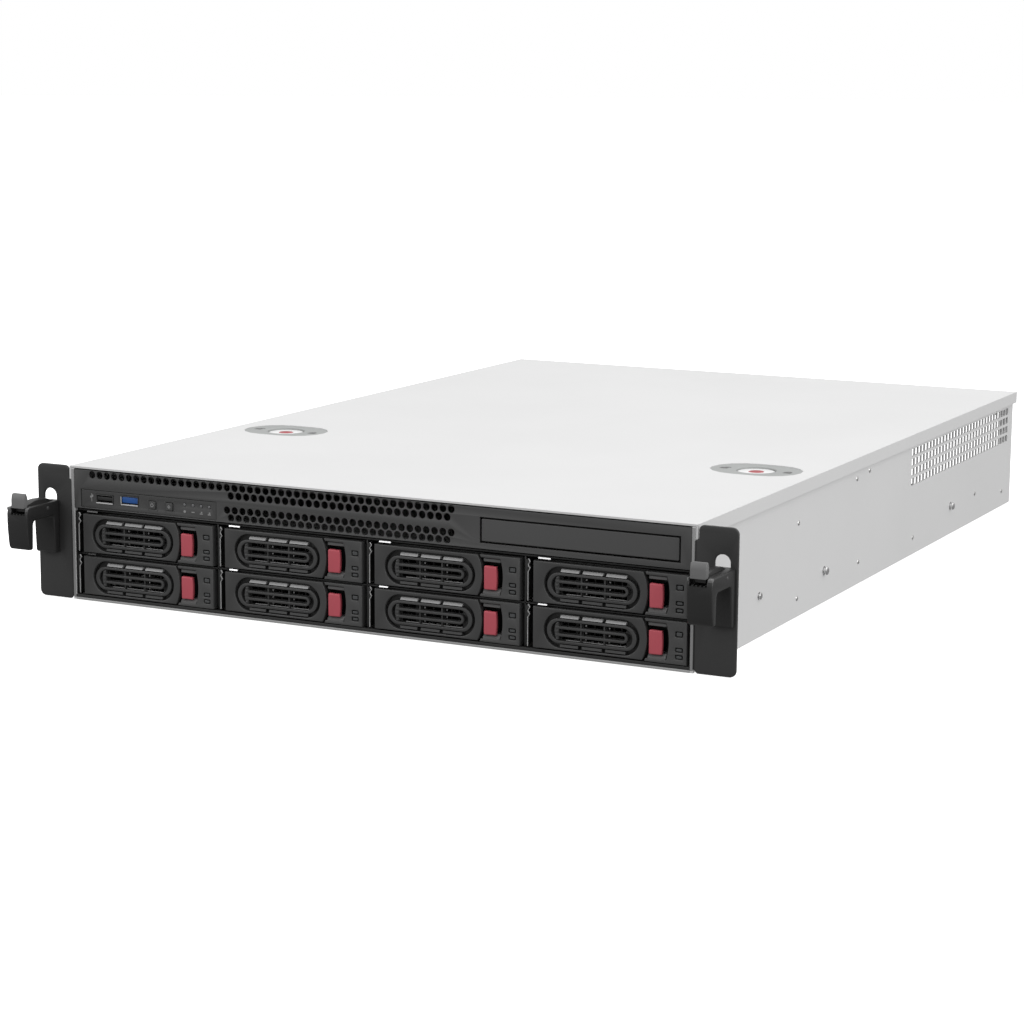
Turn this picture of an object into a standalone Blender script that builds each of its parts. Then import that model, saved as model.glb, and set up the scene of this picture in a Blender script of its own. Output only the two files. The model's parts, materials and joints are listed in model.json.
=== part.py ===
"""NAS enclosure: a 2U rack chassis with eight hot-swap drive trays, as separate fitted pieces.

Metres, +Z up, +X to the right seen from the front, -Y to the front. The origin is on the ground
under the middle of the enclosure, handles included.
"""
from math import atan2, cos, hypot, pi, radians, sin

import bmesh
import bpy
from mathutils import Matrix, Vector

# ---- overall sizes -------------------------------------------------------------------------------
WIDTH = 0.430            # outside of the side panels
HEIGHT = 0.0865          # underside of the pan to the top of the cover
WALL_DEPTH = 0.6436      # front face to the rear panel's outer face
COVER_DEPTH = WALL_DEPTH + 0.005    # front face to the cover's rear edge
RACK_WIDTH = WIDTH + 0.0526         # across both rack ears
HANDLE_REACH = 0.035     # ear handles, forward of the front face

# ---- sheet and fits ------------------------------------------------------------------------------
SHEET = 0.0012           # pan, side panels, rear panel and cover
FIT = 0.0003             # between pieces that touch
BEYOND = 0.001           # how far a cutting shape runs past what it cuts
SLIDE_FIT = 0.0004       # round a piece that slides

FRONT = (HANDLE_REACH - COVER_DEPTH) / 2      # the front face's Y
WALL_REAR = FRONT + WALL_DEPTH
COVER_REAR = FRONT + COVER_DEPTH
WALL_X = WIDTH / 2
WALL_INNER_X = WALL_X - SHEET
COVER_UNDER_Z = HEIGHT - SHEET
WALL_TOP_Z = COVER_UNDER_Z - FIT
PAN_TOP_Z = SHEET + FIT

# ---- drive bays ----------------------------------------------------------------------------------
BAY_COLUMNS = 4
BAY_ROWS = 2
BAY_SIDE_ROOM = 0.0018   # outer bays' boundaries to the side panels' outer faces
BAY_PITCH_X = (WIDTH - 2 * BAY_SIDE_ROOM) / BAY_COLUMNS
BAY_PITCH_Z = 0.0273
TRAY_BOTTOM_Z = 0.0038   # the lower row's bezels
BEZEL_WIDTH = BAY_PITCH_X - 0.0086
BEZEL_HEIGHT = BAY_PITCH_Z - 0.0020
BEZEL_INSET = 0.0061     # bay's left boundary to the bezel's left edge
BEZEL_DEPTH = 0.020
RAIL_LENGTH = 0.168      # tray rails, from the front face
RAIL_HEIGHT = 0.020
RAIL_SHEET = 0.0012
BEZEL_WALL = 0.0015      # top and bottom walls of the hollow bezel
BEZEL_END_WALL = 0.0020
POCKET_WALL = 0.0025     # behind the lever's pocket
WINDOW_MARGIN = 0.0050   # pocket windows to the bezel's top and bottom
WINDOW_END = 0.0100
WINDOW_POST = 0.0020     # between two windows
RAIL_LAP = 0.0008        # rail channel's overlap with the bezel's rear
CHANNEL_GAP_END = 0.0040 # air gap in the channel to the hollow's ends
CHANNEL_GAP_EDGE = 0.0030
DRIVE_WIDTH = BAY_PITCH_X - 0.0050     # a 3.5 inch drive, 101.6 mm
DRIVE_FIT = 0.0002
BAY_LEFT_X = -BAY_COLUMNS * BAY_PITCH_X / 2

# ---- tray lever and release button ---------------------------------------------------------------
LEVER_THICK = 0.0044
LEVER_WIDTH = BEZEL_WIDTH - 0.0278  # to its corners
LEVER_BULGE = 0.0030     # its rounded right end beyond the corners
LEVER_POCKET = LEVER_THICK + 0.0021 # depth of the bezel's pocket behind the lever
LEVER_END_GAP = 0.0003   # lever's left end to the bezel's left edge
HINGE_EAR_HEIGHT = 0.0016
HINGE_EAR_RADIUS = 0.0019
HINGE_PIN_RADIUS = 0.0008
HINGE_EAR_ROOT = 0.001   # how far the ears run into the pocket's floor
HINGE_PIN_SHORT = 0.0006 # pin's end to the bezel's top or bottom
AIR_SLOT_COLUMNS = 3
AIR_SLOT_ROWS = 2
LEVER_DISH = 0.0015      # depth of the rounded panel in the lever
LEVER_DISH_LEFT = 0.0075
LEVER_DISH_RIM = 0.0022
LEVER_SLOT_LEFT = 0.0165
LEVER_SLOT_PITCH = 0.0148
LEVER_SLOT_LENGTH = 0.0128
LEVER_SLOT_BOTTOM = 0.0080
LEVER_SLOT_RISE = 0.0060
LEVER_SLOT_HEIGHT = 0.0032
BUTTON_WIDTH = 0.0095
BUTTON_HEIGHT = BEZEL_HEIGHT - 0.0103
BUTTON_LEFT = LEVER_WIDTH + 0.0037  # bezel's left edge to the button
BUTTON_BOTTOM = 0.0045
BUTTON_DEPTH = 0.0100
BUTTON_POCKET = 0.0125
BUTTON_CORNER = 0.0008
RECESS_RIGHT = LEVER_WIDTH + 0.0163
RECESS_BULGE = 0.0015    # rounding of the recess's right end
RECESS_MARGIN_Z = 0.0017

# ---- drive cage ----------------------------------------------------------------------------------
CAGE_SHEET = 0.0008
SHELF_SHEET = 0.0006
CAGE_SETBACK = 0.0035    # divider edges behind the front face
CAGE_DEPTH = 0.176       # rear edge of the cage, from the front face
CAGE_TOP_Z = TRAY_BOTTOM_Z + BAY_ROWS * BAY_PITCH_Z - 0.0006      # underside of the top plate
SHELF_SHORT = 0.010      # shelf's rear edge, before the cage's
BACKPLANE_GAP = 0.0020   # cage to the backplane
BACKPLANE_THICK = 0.0020
CONNECTOR_DEPTH = 0.0060
CONNECTOR_SIZE = (0.042, 0.0060)
CONNECTOR_RISE = 0.0055  # bezel's bottom to the connector's middle
AIR_GAP_SIZE = (0.080, 0.0070)
AIR_GAP_RISE = 0.0180

# ---- front panel ---------------------------------------------------------------------------------
PANEL_THICK = 0.0015
PANEL_SIDE_GAP = 0.0035  # panel's end to the side panel's outer face
PANEL_BOTTOM_Z = CAGE_TOP_Z + 0.0020
PANEL_TOP_Z = COVER_UNDER_Z - 0.0004
PANEL_FLANGE = 0.012
VENT_RADIUS = 0.00235
VENT_PITCH = 0.0056
OPTICAL_WIDTH = 0.1262
OPTICAL_HEIGHT = 0.0133
OPTICAL_X = WALL_X - 0.0730
OPTICAL_Z = PANEL_BOTTOM_Z + 0.0113
VENT_RIGHT_X = OPTICAL_X - OPTICAL_WIDTH / 2 - 0.0202
VENT_LONG_LEFT_X = -WALL_X + 0.0155     # where the top row stops
VENT_SHORT_LEFT_X = -WALL_X + 0.1150    # where the other rows stop, beside the lights
VENT_ROWS = (             # panel's top to the row, where it stops, its last hole's offset in pitches
    (0.0031, VENT_LONG_LEFT_X, 0.0),
    (0.0081, VENT_SHORT_LEFT_X, 0.5),
    (0.0172, VENT_SHORT_LEFT_X, 0.0),
    (0.0219, VENT_SHORT_LEFT_X, 0.5),
)
OPTICAL_GAP = 0.0006
OPTICAL_DEPTH = 0.008
OPTICAL_WALL = 0.0015
OPTICAL_SETBACK = 0.0002
USB_DEPTH = 0.014
USB_WALL = 0.0004
USB_FRAME_GAP = 0.0003
USB_BACK = 0.0020        # closed rear of the socket
USB_TONGUE_SETBACK = 0.0012
USB_TONGUE_RISE = 0.13   # of the socket's height, tongue's middle above the socket's
USB_TONGUE_SHARE = (0.84, 0.32)     # of the socket's width and height
USB2_SIZE = (0.0131, 0.0057)
USB2_PLACE = (-WALL_X + 0.0252, PANEL_BOTTOM_Z + 0.0069)
USB3_SIZE = (0.0131, 0.0061)
USB3_PLACE = (-WALL_X + 0.0443, PANEL_BOTTOM_Z + 0.0075)
KEY_SIDE = 0.0047
KEY_Z = PANEL_BOTTOM_Z + 0.0063
KEY_PLACES = {"power_button": -WALL_X + 0.0615, "reset_button": -WALL_X + 0.0742}
KEY_DEPTH = 0.005
KEY_FLANGE_THICK = 0.0012
KEY_PROUD = 0.0003
KEY_FLANGE = 0.0009      # flange beyond the cap, all round
LIGHT_RADIUS = 0.0010
LIGHT_Z = PANEL_BOTTOM_Z + 0.0086
LIGHT_PLACES = (-WALL_X + 0.0855, -WALL_X + 0.0917, -WALL_X + 0.0978, -WALL_X + 0.1037)
LIGHT_BAR_SETBACK = 0.002           # panel's rear to the bar that joins the pins
LIGHT_BAR_SIDE = 0.003

# ---- cover and its latches -----------------------------------------------------------------------
COVER_FLANGE_Z = HEIGHT - 0.0085    # lower edge of the cover's side flanges
COVER_FRONT_GAP = 0.0003
LATCH_X = WALL_X - 0.040
LATCH_SETBACK = 0.1965   # from the front face
LATCH_LENGTH = 0.060
LATCH_BREADTH = 0.044
LATCH_RIM = 0.003        # flange under the cover, beyond the plate
LATCH_RIM_THICK = 0.0015
LATCH_SINK = 0.0003      # plate's top below the cover's
LATCH_DISC_RADIUS = 0.0125
LATCH_DISC_SINK = 0.0012
LATCH_DISC_THICK = 0.0040
LATCH_DISC_LIP = 0.0020  # disc's stop flange, beyond the disc

# ---- side and rear openings ----------------------------------------------------------------------
HEM = 0.0007             # front hem of a side panel, inwards beyond the sheet
HEM_DEPTH = 0.010
SIDE_VENT_COLUMNS = 32
SIDE_VENT_ROWS = 4
SIDE_VENT_PITCH_Y = 0.0075
SIDE_VENT_PITCH_Z = 0.0070
SIDE_VENT_WIDTH = 0.0055
SIDE_VENT_HEIGHT = 0.0051
SIDE_VENT_FROM_REAR = 0.0156        # last column's middle to the rear panel's outer face
SIDE_VENT_TOP_Z = HEIGHT - 0.0132
IO_SIZE = (0.15875, 0.04445)
IO_PLACE = (-WALL_X + 0.2335, 0.0305)
SUPPLY_SIZE = (0.1005, 0.0705)
SUPPLY_PLACE = (WALL_X - 0.0610, 0.0430)
SLOT_COUNT = 7
SLOT_PITCH = 0.02032
SLOT_WIDTH = 0.0130
SLOT_HEIGHT = 0.0740
SLOT_FIRST_X = -WALL_X + 0.1390
SLOT_Z = 0.0430
SLOT_COVER_WIDTH = 0.0184
SLOT_COVER_THICK = 0.0010
SLOT_COVER_LAP = 0.0020  # cover beyond the slot, above and below
REAR_VENT_COUNT = 18
REAR_VENT_PITCH = 0.0085
REAR_VENT_SIZE = (0.0030, 0.0160)
REAR_VENT_Z = 0.0680

# ---- fans ----------------------------------------------------------------------------------------
FAN_COUNT = 3
FAN_SIDE = 0.080
FAN_DEPTH = 0.0254
FAN_PITCH = (WIDTH - 0.040) / FAN_COUNT
FAN_Z = 0.0428
FAN_BORE_RADIUS = FAN_SIDE / 2 - 0.002
FAN_CORNER = 0.004
SPIDER_WIDTH = 0.004
SPIDER_THICK = 0.003
ROTOR_SETBACK = 0.002    # rotor's front behind the frame's
ROTOR_REAR_GAP = 0.002   # rotor to the spider
FAN_LAP = 0.0022         # bracket over the fan frame, on each side of its window
FAN_WALL_SETBACK = 0.262 # bracket behind the front face
FAN_BLADES = 7
FAN_HUB_RADIUS = 0.0175
FAN_TIP_GAP = 0.0013
FAN_PITCH_ANGLE = radians(38)
BLADE_THICK = 0.0012
BLADE_WIDEN = 1.3        # blade's sweep against a flat blade at that pitch
BLADE_LEAN = 0.16        # radians that a tip leans back
BLADE_ROOT = 0.002       # how far a blade runs into the hub
BLADE_SETBACK = 0.001

# ---- rack ears, handles and rack latches ---------------------------------------------------------
EAR_THICK = 0.0020
EAR_INNER_X = WALL_X + 0.0010
EAR_STEP = 0.0012        # inner edge steps out beside the cover's flange
EAR_STEP_Z = COVER_FLANGE_Z - 0.0008
EAR_FLANGE_DEPTH = 0.020
EAR_FLANGE_BOTTOM_Z = 0.004
EAR_FLANGE_TOP_Z = COVER_FLANGE_Z - 0.0020
EAR_CORNER = 0.004
EAR_STEP_CORNER = 0.003
EAR_CHAMFER = 0.002
HANDLE_TOP_Z = HEIGHT - 0.0231
RACK_HOLE_X = WALL_X + 0.0168
RACK_HOLE_TOP_Z = HANDLE_TOP_Z + 0.0074
RACK_HOLE_BOTTOM_Z = HANDLE_TOP_Z - 0.0101
RACK_HOLE_RADIUS = 0.0048
HANDLE_INNER_X = WALL_X + 0.0096
HANDLE_WIDTH = 0.0155
HANDLE_BOTTOM_Z = HANDLE_TOP_Z - 0.0337
GRIP_BOTTOM_Z = HANDLE_TOP_Z - 0.0271
ARM_THICK = 0.0092
GRIP_BACK = 0.0072       # front of the grip to its back, at the top
GRIP_FRONT = (           # behind the grip's nose, and below the handle's top
    (0.0030, 0.0), (0.0009, 0.0015), (0.0, 0.0048), (0.0002, 0.0128), (0.0009, 0.0200), (0.0018, 0.0271),
)
GRIP_TOE = (0.0006, 0.0004)         # lower rear corner of the grip, inwards and down
GRIP_FILLET = 0.003
LEG_FILLET = 0.002
LEG_DEPTH = 0.0064       # front face to the front of the leg, at the arm
LEG_FOOT = ((0.0052, 0.0010), (0.0042, 0.0))    # forward of the front face, above the handle's bottom
LATCH_BAR_X = WALL_X + 0.0164
LATCH_BAR_WIDTH = 0.0070
LATCH_BAR_FLOOR_Z = HANDLE_TOP_Z - 0.0078
CHANNEL_SETBACK = 0.0022            # latch channel's front wall
NOTCH_MARGIN = 0.0012    # behind the thumb tab
NOTCH_DROP = 0.0044      # below the thumb tab
CHANNEL_OVERRUN = 0.002  # cuts run above the handle's top
LATCH_PIVOT = (0.0124, HANDLE_TOP_Z - 0.0032)   # forward of the front face, height
LATCH_BAR_FRONT = ((0.0034, 0.0026), (0.0034, 0.0001))      # behind the nose, above the pivot
LATCH_BAR_UNDER = ((-0.003, -0.0022), (0.003, -0.0026))     # behind the pivot, above the pivot
LATCH_HOOK = (           # behind the front face, above the pivot
    (-0.0015, -0.0019), (EAR_THICK + 0.0006, -0.0019), (EAR_THICK + 0.0006, -0.0044),
    (EAR_THICK + 0.0020, -0.0044), (EAR_THICK + 0.0040, -0.0009), (EAR_THICK + 0.0040, 0.0022),
    (-0.0015, 0.0031),
)
LATCH_BAR_TOP = ((0.004, 0.0058), (-0.008, 0.0060))         # behind the pivot, above the pivot
LATCH_BAR_NOSE = (0.0060, 0.0041)   # behind the nose, above the pivot
TAB_WIDTH = 0.0100
TAB_BOTTOM_Z = HANDLE_TOP_Z - 0.0005
TAB_THICK = 0.0038
TAB_OUTLINE = (          # behind the nose, above the tab's bottom
    (0.0, 0.0), (TAB_THICK, 0.0), (TAB_THICK + 0.0006, 0.0062), (TAB_THICK - 0.0006, 0.0092),
    (0.0010, 0.0092), (0.0002, 0.0062),
)


# ---- scene and materials -------------------------------------------------------------------------
def clear_scene():
    for obj in list(bpy.data.objects):
        bpy.data.objects.remove(obj)


def material(name, colour, roughness, metallic=0.0):
    made = bpy.data.materials.new(name)
    made.use_nodes = True
    shader = made.node_tree.nodes["Principled BSDF"]
    shader.inputs["Base Color"].default_value = (*colour, 1.0)
    shader.inputs["Roughness"].default_value = roughness
    shader.inputs["Metallic"].default_value = metallic
    return made


clear_scene()
LIGHT_PAINT = material("light_paint", (0.72, 0.72, 0.71), 0.45, 0.3)
BARE_STEEL = material("bare_steel", (0.55, 0.55, 0.54), 0.35, 0.9)
BLACK_PAINT = material("black_paint", (0.055, 0.055, 0.055), 0.5)
BLACK_PLASTIC = material("black_plastic", (0.03, 0.03, 0.03), 0.45)
GREY_PLASTIC = material("grey_plastic", (0.16, 0.16, 0.16), 0.5)
LATCH_GREY = material("latch_grey", (0.36, 0.37, 0.36), 0.5)
LATCH_WHITE = material("latch_white", (0.85, 0.85, 0.85), 0.35)
RED_PLASTIC = material("red_plastic", (0.42, 0.07, 0.08), 0.4)
PORT_STEEL = material("port_steel", (0.6, 0.6, 0.6), 0.3, 0.9)
BOARD_GREEN = material("board_green", (0.02, 0.12, 0.05), 0.5)
CLEAR_PIPE = material("clear_pipe", (0.6, 0.62, 0.65), 0.2)


# ---- outlines: lists of points in the two axes across a prism ------------------------------------
def rectangle(a0, a1, b0, b1):
    return [(a0, b0), (a1, b0), (a1, b1), (a0, b1)]


def middled(centre, size):
    """A rectangle round its middle."""
    (a, b), (w, h) = centre, size
    return rectangle(a - w / 2, a + w / 2, b - h / 2, b + h / 2)


def arc(a, b, radius, start, end, steps):
    """Points on an arc, both ends included, with angles in degrees."""
    turns = [radians(start + (end - start) * i / steps) for i in range(steps + 1)]
    return [(a + radius * cos(t), b + radius * sin(t)) for t in turns]


def circle(a, b, radius, sides):
    """A regular polygon with a level edge at its right."""
    first = 180 / sides
    return arc(a, b, radius, first, first + 360 - 360 / sides, sides - 1)


def rounded(a0, a1, b0, b1, radius, steps=3):
    """A rectangle with four rounded corners; a radius of half its height makes a stadium."""
    corners = ((a1, b0, -90), (a1, b1, 0), (a0, b1, 90), (a0, b0, 180))
    points = []
    for a, b, start in corners:
        inward_a = a - radius if a == a1 else a + radius
        inward_b = b - radius if b == b1 else b + radius
        points += arc(inward_a, inward_b, radius, start, start + 90, steps)
    return points


def chord_arc(a, b0, b1, bulge, steps):
    """Points from (a, b0) to (a, b1) on an arc that stands out by a bulge between them."""
    half = (b1 - b0) / 2
    radius = (half * half + bulge * bulge) / (2 * bulge)
    centre_a = a + bulge - radius
    sweep = atan2(half, radius - bulge) * 180 / pi
    return arc(centre_a, (b0 + b1) / 2, radius, -sweep, sweep, steps)


def distinct(points):
    """The outline without points that fall on the one before them."""
    kept = []
    for point in points:
        if not kept or hypot(point[0] - kept[-1][0], point[1] - kept[-1][1]) > 1e-6:
            kept.append(point)
    if hypot(kept[0][0] - kept[-1][0], kept[0][1] - kept[-1][1]) < 1e-6:
        kept.pop()
    return kept


# ---- solids --------------------------------------------------------------------------------------
def prism(axis, low, high, outline, holes=()):
    """A closed prism from low to high along an axis, with holes right through it."""
    place = {
        "X": lambda p: Vector((low, p[0], p[1])),
        "Y": lambda p: Vector((p[0], low, p[1])),
        "Z": lambda p: Vector((p[0], p[1], low)),
    }[axis]
    along = {"X": Vector((1, 0, 0)), "Y": Vector((0, 1, 0)), "Z": Vector((0, 0, 1))}[axis]
    shape = bmesh.new()
    for loop in (outline, *holes):
        ring = [shape.verts.new(place(p)) for p in distinct(loop)]
        for one, other in zip(ring, ring[1:] + ring[:1]):
            shape.edges.new((one, other))
    bmesh.ops.triangle_fill(shape, use_beauty=True, edges=shape.edges[:], normal=along)
    grown = bmesh.ops.extrude_face_region(shape, geom=shape.faces[:], use_keep_orig=True)
    moved = [item for item in grown["geom"] if isinstance(item, bmesh.types.BMVert)]
    bmesh.ops.translate(shape, verts=moved, vec=along * (high - low))
    bmesh.ops.recalc_face_normals(shape, faces=shape.faces[:])
    return shape


def box(x0, x1, y0, y1, z0, z1):
    return prism("Z", z0, z1, rectangle(x0, x1, y0, y1))


def turned(axis, centre, profile, sides):
    """A solid of revolution: profile points are (radius, distance along the axis)."""
    shape = bmesh.new()
    ring = [shape.verts.new((radius, 0, along)) for radius, along in profile]
    for one, other in zip(ring, ring[1:]):
        shape.edges.new((one, other))
    bmesh.ops.spin(shape, geom=shape.verts[:] + shape.edges[:], axis=(0, 0, 1), cent=(0, 0, 0),
                   angle=2 * pi, steps=sides, use_merge=True)
    bmesh.ops.remove_doubles(shape, verts=shape.verts[:], dist=1e-6)
    turn = Matrix.Rotation(pi / 2, 4, "X") if axis == "Y" else Matrix.Identity(4)
    bmesh.ops.transform(shape, verts=shape.verts[:], matrix=Matrix.Translation(centre) @ turn)
    bmesh.ops.recalc_face_normals(shape, faces=shape.faces[:])
    return shape


def together(shapes):
    """Several separate shapes in one, for one Boolean."""
    joined = bmesh.new()
    for shape in shapes:
        part = bpy.data.meshes.new("part")
        shape.to_mesh(part)
        joined.from_mesh(part)
        bpy.data.meshes.remove(part)
        shape.free()
    return joined


def mesh_of(name, shape):
    mesh = bpy.data.meshes.new(name)
    shape.to_mesh(mesh)
    shape.free()
    return mesh


def carved(name, base, *steps):
    """The mesh of a base shape after exact Booleans, each step being (operation, shape)."""
    scene = bpy.context.scene.collection.objects
    body = bpy.data.objects.new(name, mesh_of(name, base))
    scene.link(body)
    tools = []
    for operation, shape in steps:
        tool = bpy.data.objects.new(name + "_tool", mesh_of(name + "_tool", shape))
        tool.hide_render = True
        tool.display_type = "WIRE"
        scene.link(tool)
        tools.append(tool)
        change = body.modifiers.new(operation.lower(), "BOOLEAN")
        change.operation = operation
        change.object = tool
    evaluated = body.evaluated_get(bpy.context.evaluated_depsgraph_get())
    mesh = bpy.data.meshes.new_from_object(evaluated)
    mesh.name = name
    for extra in [body, *tools]:
        bpy.data.objects.remove(extra)
    return mesh


def add(name, mesh, look, origin=(0, 0, 0), parent=None, smooth=False, at_origin=False):
    """A named piece whose origin is the given point; its mesh is in world places unless at_origin."""
    if not at_origin:
        mesh.transform(Matrix.Translation(-Vector(origin)))
    piece = bpy.data.objects.new(name, mesh)
    piece.location = origin
    if smooth:
        mesh.shade_smooth()
        mesh.set_sharp_from_angle(angle=radians(35))
    if not mesh.materials:
        mesh.materials.append(look)
    bpy.context.scene.collection.objects.link(piece)
    if parent is not None:
        piece.parent = parent
        piece.location = Vector(origin) - parent.location
    return piece


SIDE_SIGN = {"left": -1, "right": 1}


# ---- chassis sheets ------------------------------------------------------------------------------
def base_pan():
    lip_top = TRAY_BOTTOM_Z - SHEET
    outline = [
        (FRONT, 0), (WALL_REAR, 0), (WALL_REAR, SHEET),
        (FRONT + SHEET, SHEET), (FRONT + SHEET, lip_top), (FRONT, lip_top),
    ]
    half = WALL_INNER_X - HEM - FIT
    add("base_pan", mesh_of("base_pan", prism("X", -half, half, outline)), BARE_STEEL)


def side_panel(side):
    vents = []
    for column in range(SIDE_VENT_COLUMNS):
        for row in range(SIDE_VENT_ROWS):
            y = WALL_REAR - SIDE_VENT_FROM_REAR - column * SIDE_VENT_PITCH_Y
            z = SIDE_VENT_TOP_Z - row * SIDE_VENT_PITCH_Z
            vents.append(middled((y, z), (SIDE_VENT_WIDTH, SIDE_VENT_HEIGHT)))
    sheet = prism("X", WALL_INNER_X, WALL_X, rectangle(FRONT, WALL_REAR, 0, WALL_TOP_Z), vents)
    hem = box(WALL_INNER_X - HEM, WALL_X - SHEET / 2, FRONT, FRONT + HEM_DEPTH, 0, WALL_TOP_Z)
    mesh = carved("side_panel", sheet, ("UNION", hem))
    if side == "left":
        mesh.transform(Matrix.Scale(-1, 4, (1, 0, 0)))
        mesh.flip_normals()
    add("side_panel_" + side, mesh, LIGHT_PAINT)


def rear_panel():
    half = WALL_INNER_X - FIT
    slots = [
        middled((SLOT_FIRST_X - i * SLOT_PITCH, SLOT_Z), (SLOT_WIDTH, SLOT_HEIGHT))
        for i in range(SLOT_COUNT)
    ]
    first_vent = IO_PLACE[0] - (REAR_VENT_COUNT - 1) * REAR_VENT_PITCH / 2
    vents = [
        middled((first_vent + i * REAR_VENT_PITCH, REAR_VENT_Z), REAR_VENT_SIZE)
        for i in range(REAR_VENT_COUNT)
    ]
    openings = [middled(IO_PLACE, IO_SIZE), middled(SUPPLY_PLACE, SUPPLY_SIZE), *slots, *vents]
    outline = rectangle(-half, half, PAN_TOP_Z, WALL_TOP_Z)
    sheet = prism("Y", WALL_REAR - SHEET, WALL_REAR, outline, openings)
    add("rear_panel", mesh_of("rear_panel", sheet), BARE_STEEL)


def slot_cover_bank():
    """Seven slot covers on one retaining bar, behind the rear panel's slots."""
    back = WALL_REAR - SHEET - FIT
    top = SLOT_Z + SLOT_HEIGHT / 2 + SLOT_COVER_LAP
    bottom = SLOT_Z - SLOT_HEIGHT / 2 - SLOT_COVER_LAP
    comb = [(SLOT_FIRST_X + SLOT_COVER_WIDTH / 2, top)]
    root = top - SLOT_COVER_LAP
    for i in range(SLOT_COUNT):
        right = SLOT_FIRST_X - i * SLOT_PITCH + SLOT_COVER_WIDTH / 2
        left = right - SLOT_COVER_WIDTH
        comb += [(right, bottom), (left, bottom)]
        if i < SLOT_COUNT - 1:
            comb += [(left, root), (left - (SLOT_PITCH - SLOT_COVER_WIDTH), root)]
        else:
            comb += [(left, top)]
    mesh = mesh_of("slot_cover_bank", prism("Y", back - SLOT_COVER_THICK, back, comb))
    add("slot_cover_bank", mesh, BARE_STEEL)


# ---- cover and its latches -----------------------------------------------------------------------
def latch_outline(side, grow):
    x = SIDE_SIGN[side] * LATCH_X
    y = FRONT + LATCH_SETBACK
    half_length = LATCH_LENGTH / 2 + grow
    half_breadth = LATCH_BREADTH / 2 + grow
    return rounded(x - half_length, x + half_length, y - half_breadth, y + half_breadth,
                   half_breadth, 4)


def top_cover():
    inner = WALL_X + FIT
    outer = inner + SHEET
    outline = [
        (-outer, COVER_FLANGE_Z), (-inner, COVER_FLANGE_Z), (-inner, COVER_UNDER_Z),
        (inner, COVER_UNDER_Z), (inner, COVER_FLANGE_Z), (outer, COVER_FLANGE_Z),
        (outer, HEIGHT), (-outer, HEIGHT),
    ]
    hood = prism("Y", FRONT + COVER_FRONT_GAP, COVER_REAR, outline)
    rear_flange = box(-inner - SHEET / 2, inner + SHEET / 2, COVER_REAR - SHEET, COVER_REAR,
                      COVER_FLANGE_Z, COVER_UNDER_Z + SHEET / 2)
    cuts = together(
        prism("Z", COVER_UNDER_Z - BEYOND, HEIGHT + BEYOND, latch_outline(side, FIT))
        for side in SIDE_SIGN
    )
    mesh = carved("top_cover", hood, ("UNION", rear_flange), ("DIFFERENCE", cuts))
    return add("top_cover", mesh, LIGHT_PAINT, origin=(0, FRONT, HEIGHT))


def cover_latch(side, cover):
    x = SIDE_SIGN[side] * LATCH_X
    y = FRONT + LATCH_SETBACK
    rim_top = COVER_UNDER_Z - FIT
    rim_bottom = rim_top - LATCH_RIM_THICK
    plate_top = HEIGHT - LATCH_SINK
    rim = prism("Z", rim_bottom, rim_top, latch_outline(side, LATCH_RIM))
    plate = prism("Z", rim_bottom + LATCH_RIM_THICK / 2, plate_top, latch_outline(side, 0))
    bore = prism("Z", rim_bottom - BEYOND, plate_top + BEYOND,
                 circle(x, y, LATCH_DISC_RADIUS + SLIDE_FIT, 20))
    mesh = carved("cover_latch_plate_" + side, rim, ("UNION", plate), ("DIFFERENCE", bore))
    add("cover_latch_plate_" + side, mesh, LATCH_GREY, origin=(x, y, plate_top), parent=cover)
    disc_top = HEIGHT - LATCH_DISC_SINK
    disc_bottom = disc_top - LATCH_DISC_THICK
    lip_radius = LATCH_DISC_RADIUS + LATCH_DISC_LIP
    lip_top = rim_bottom - FIT
    profile = [
        (0, disc_top), (LATCH_DISC_RADIUS, disc_top), (LATCH_DISC_RADIUS, lip_top),
        (lip_radius, lip_top), (lip_radius, disc_bottom), (0, disc_bottom),
    ]
    disc = turned("Z", (x, y, 0), profile, 20)
    add("cover_latch_button_" + side, mesh_of("cover_latch_button_" + side, disc), LATCH_WHITE,
        origin=(x, y, disc_top), parent=cover, smooth=True)


# ---- front panel and what is in it ---------------------------------------------------------------
def vent_centres():
    for drop, stop_x, offset in VENT_ROWS:
        x = VENT_RIGHT_X - offset * VENT_PITCH
        while x > stop_x:
            yield x, PANEL_TOP_Z - drop
            x -= VENT_PITCH


def front_panel():
    half = WALL_X - PANEL_SIDE_GAP
    outline = rectangle(-half, half, PANEL_BOTTOM_Z, PANEL_TOP_Z)
    holes = [circle(x, z, VENT_RADIUS, 6) for x, z in vent_centres()]
    holes.append(middled((OPTICAL_X, OPTICAL_Z),
                         (OPTICAL_WIDTH + 2 * OPTICAL_GAP, OPTICAL_HEIGHT + 2 * OPTICAL_GAP)))
    for place, size in ((USB2_PLACE, USB2_SIZE), (USB3_PLACE, USB3_SIZE)):
        holes.append(middled(place, (size[0] + 2 * USB_FRAME_GAP, size[1] + 2 * USB_FRAME_GAP)))
    for x in KEY_PLACES.values():
        holes.append(middled((x, KEY_Z), (KEY_SIDE + 2 * SLIDE_FIT, KEY_SIDE + 2 * SLIDE_FIT)))
    holes += [circle(x, LIGHT_Z, LIGHT_RADIUS + FIT, 8) for x in LIGHT_PLACES]
    plate = prism("Y", FRONT, FRONT + PANEL_THICK, outline, holes)
    flanges = together(
        box(min(end, end - sign * SHEET), max(end, end - sign * SHEET), FRONT + PANEL_THICK / 2,
            FRONT + PANEL_FLANGE, PANEL_BOTTOM_Z, PANEL_TOP_Z)
        for sign, end in ((-1, -half), (1, half))
    )
    mesh = carved("front_panel", plate, ("UNION", flanges))
    add("front_panel", mesh, BLACK_PAINT)


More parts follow.
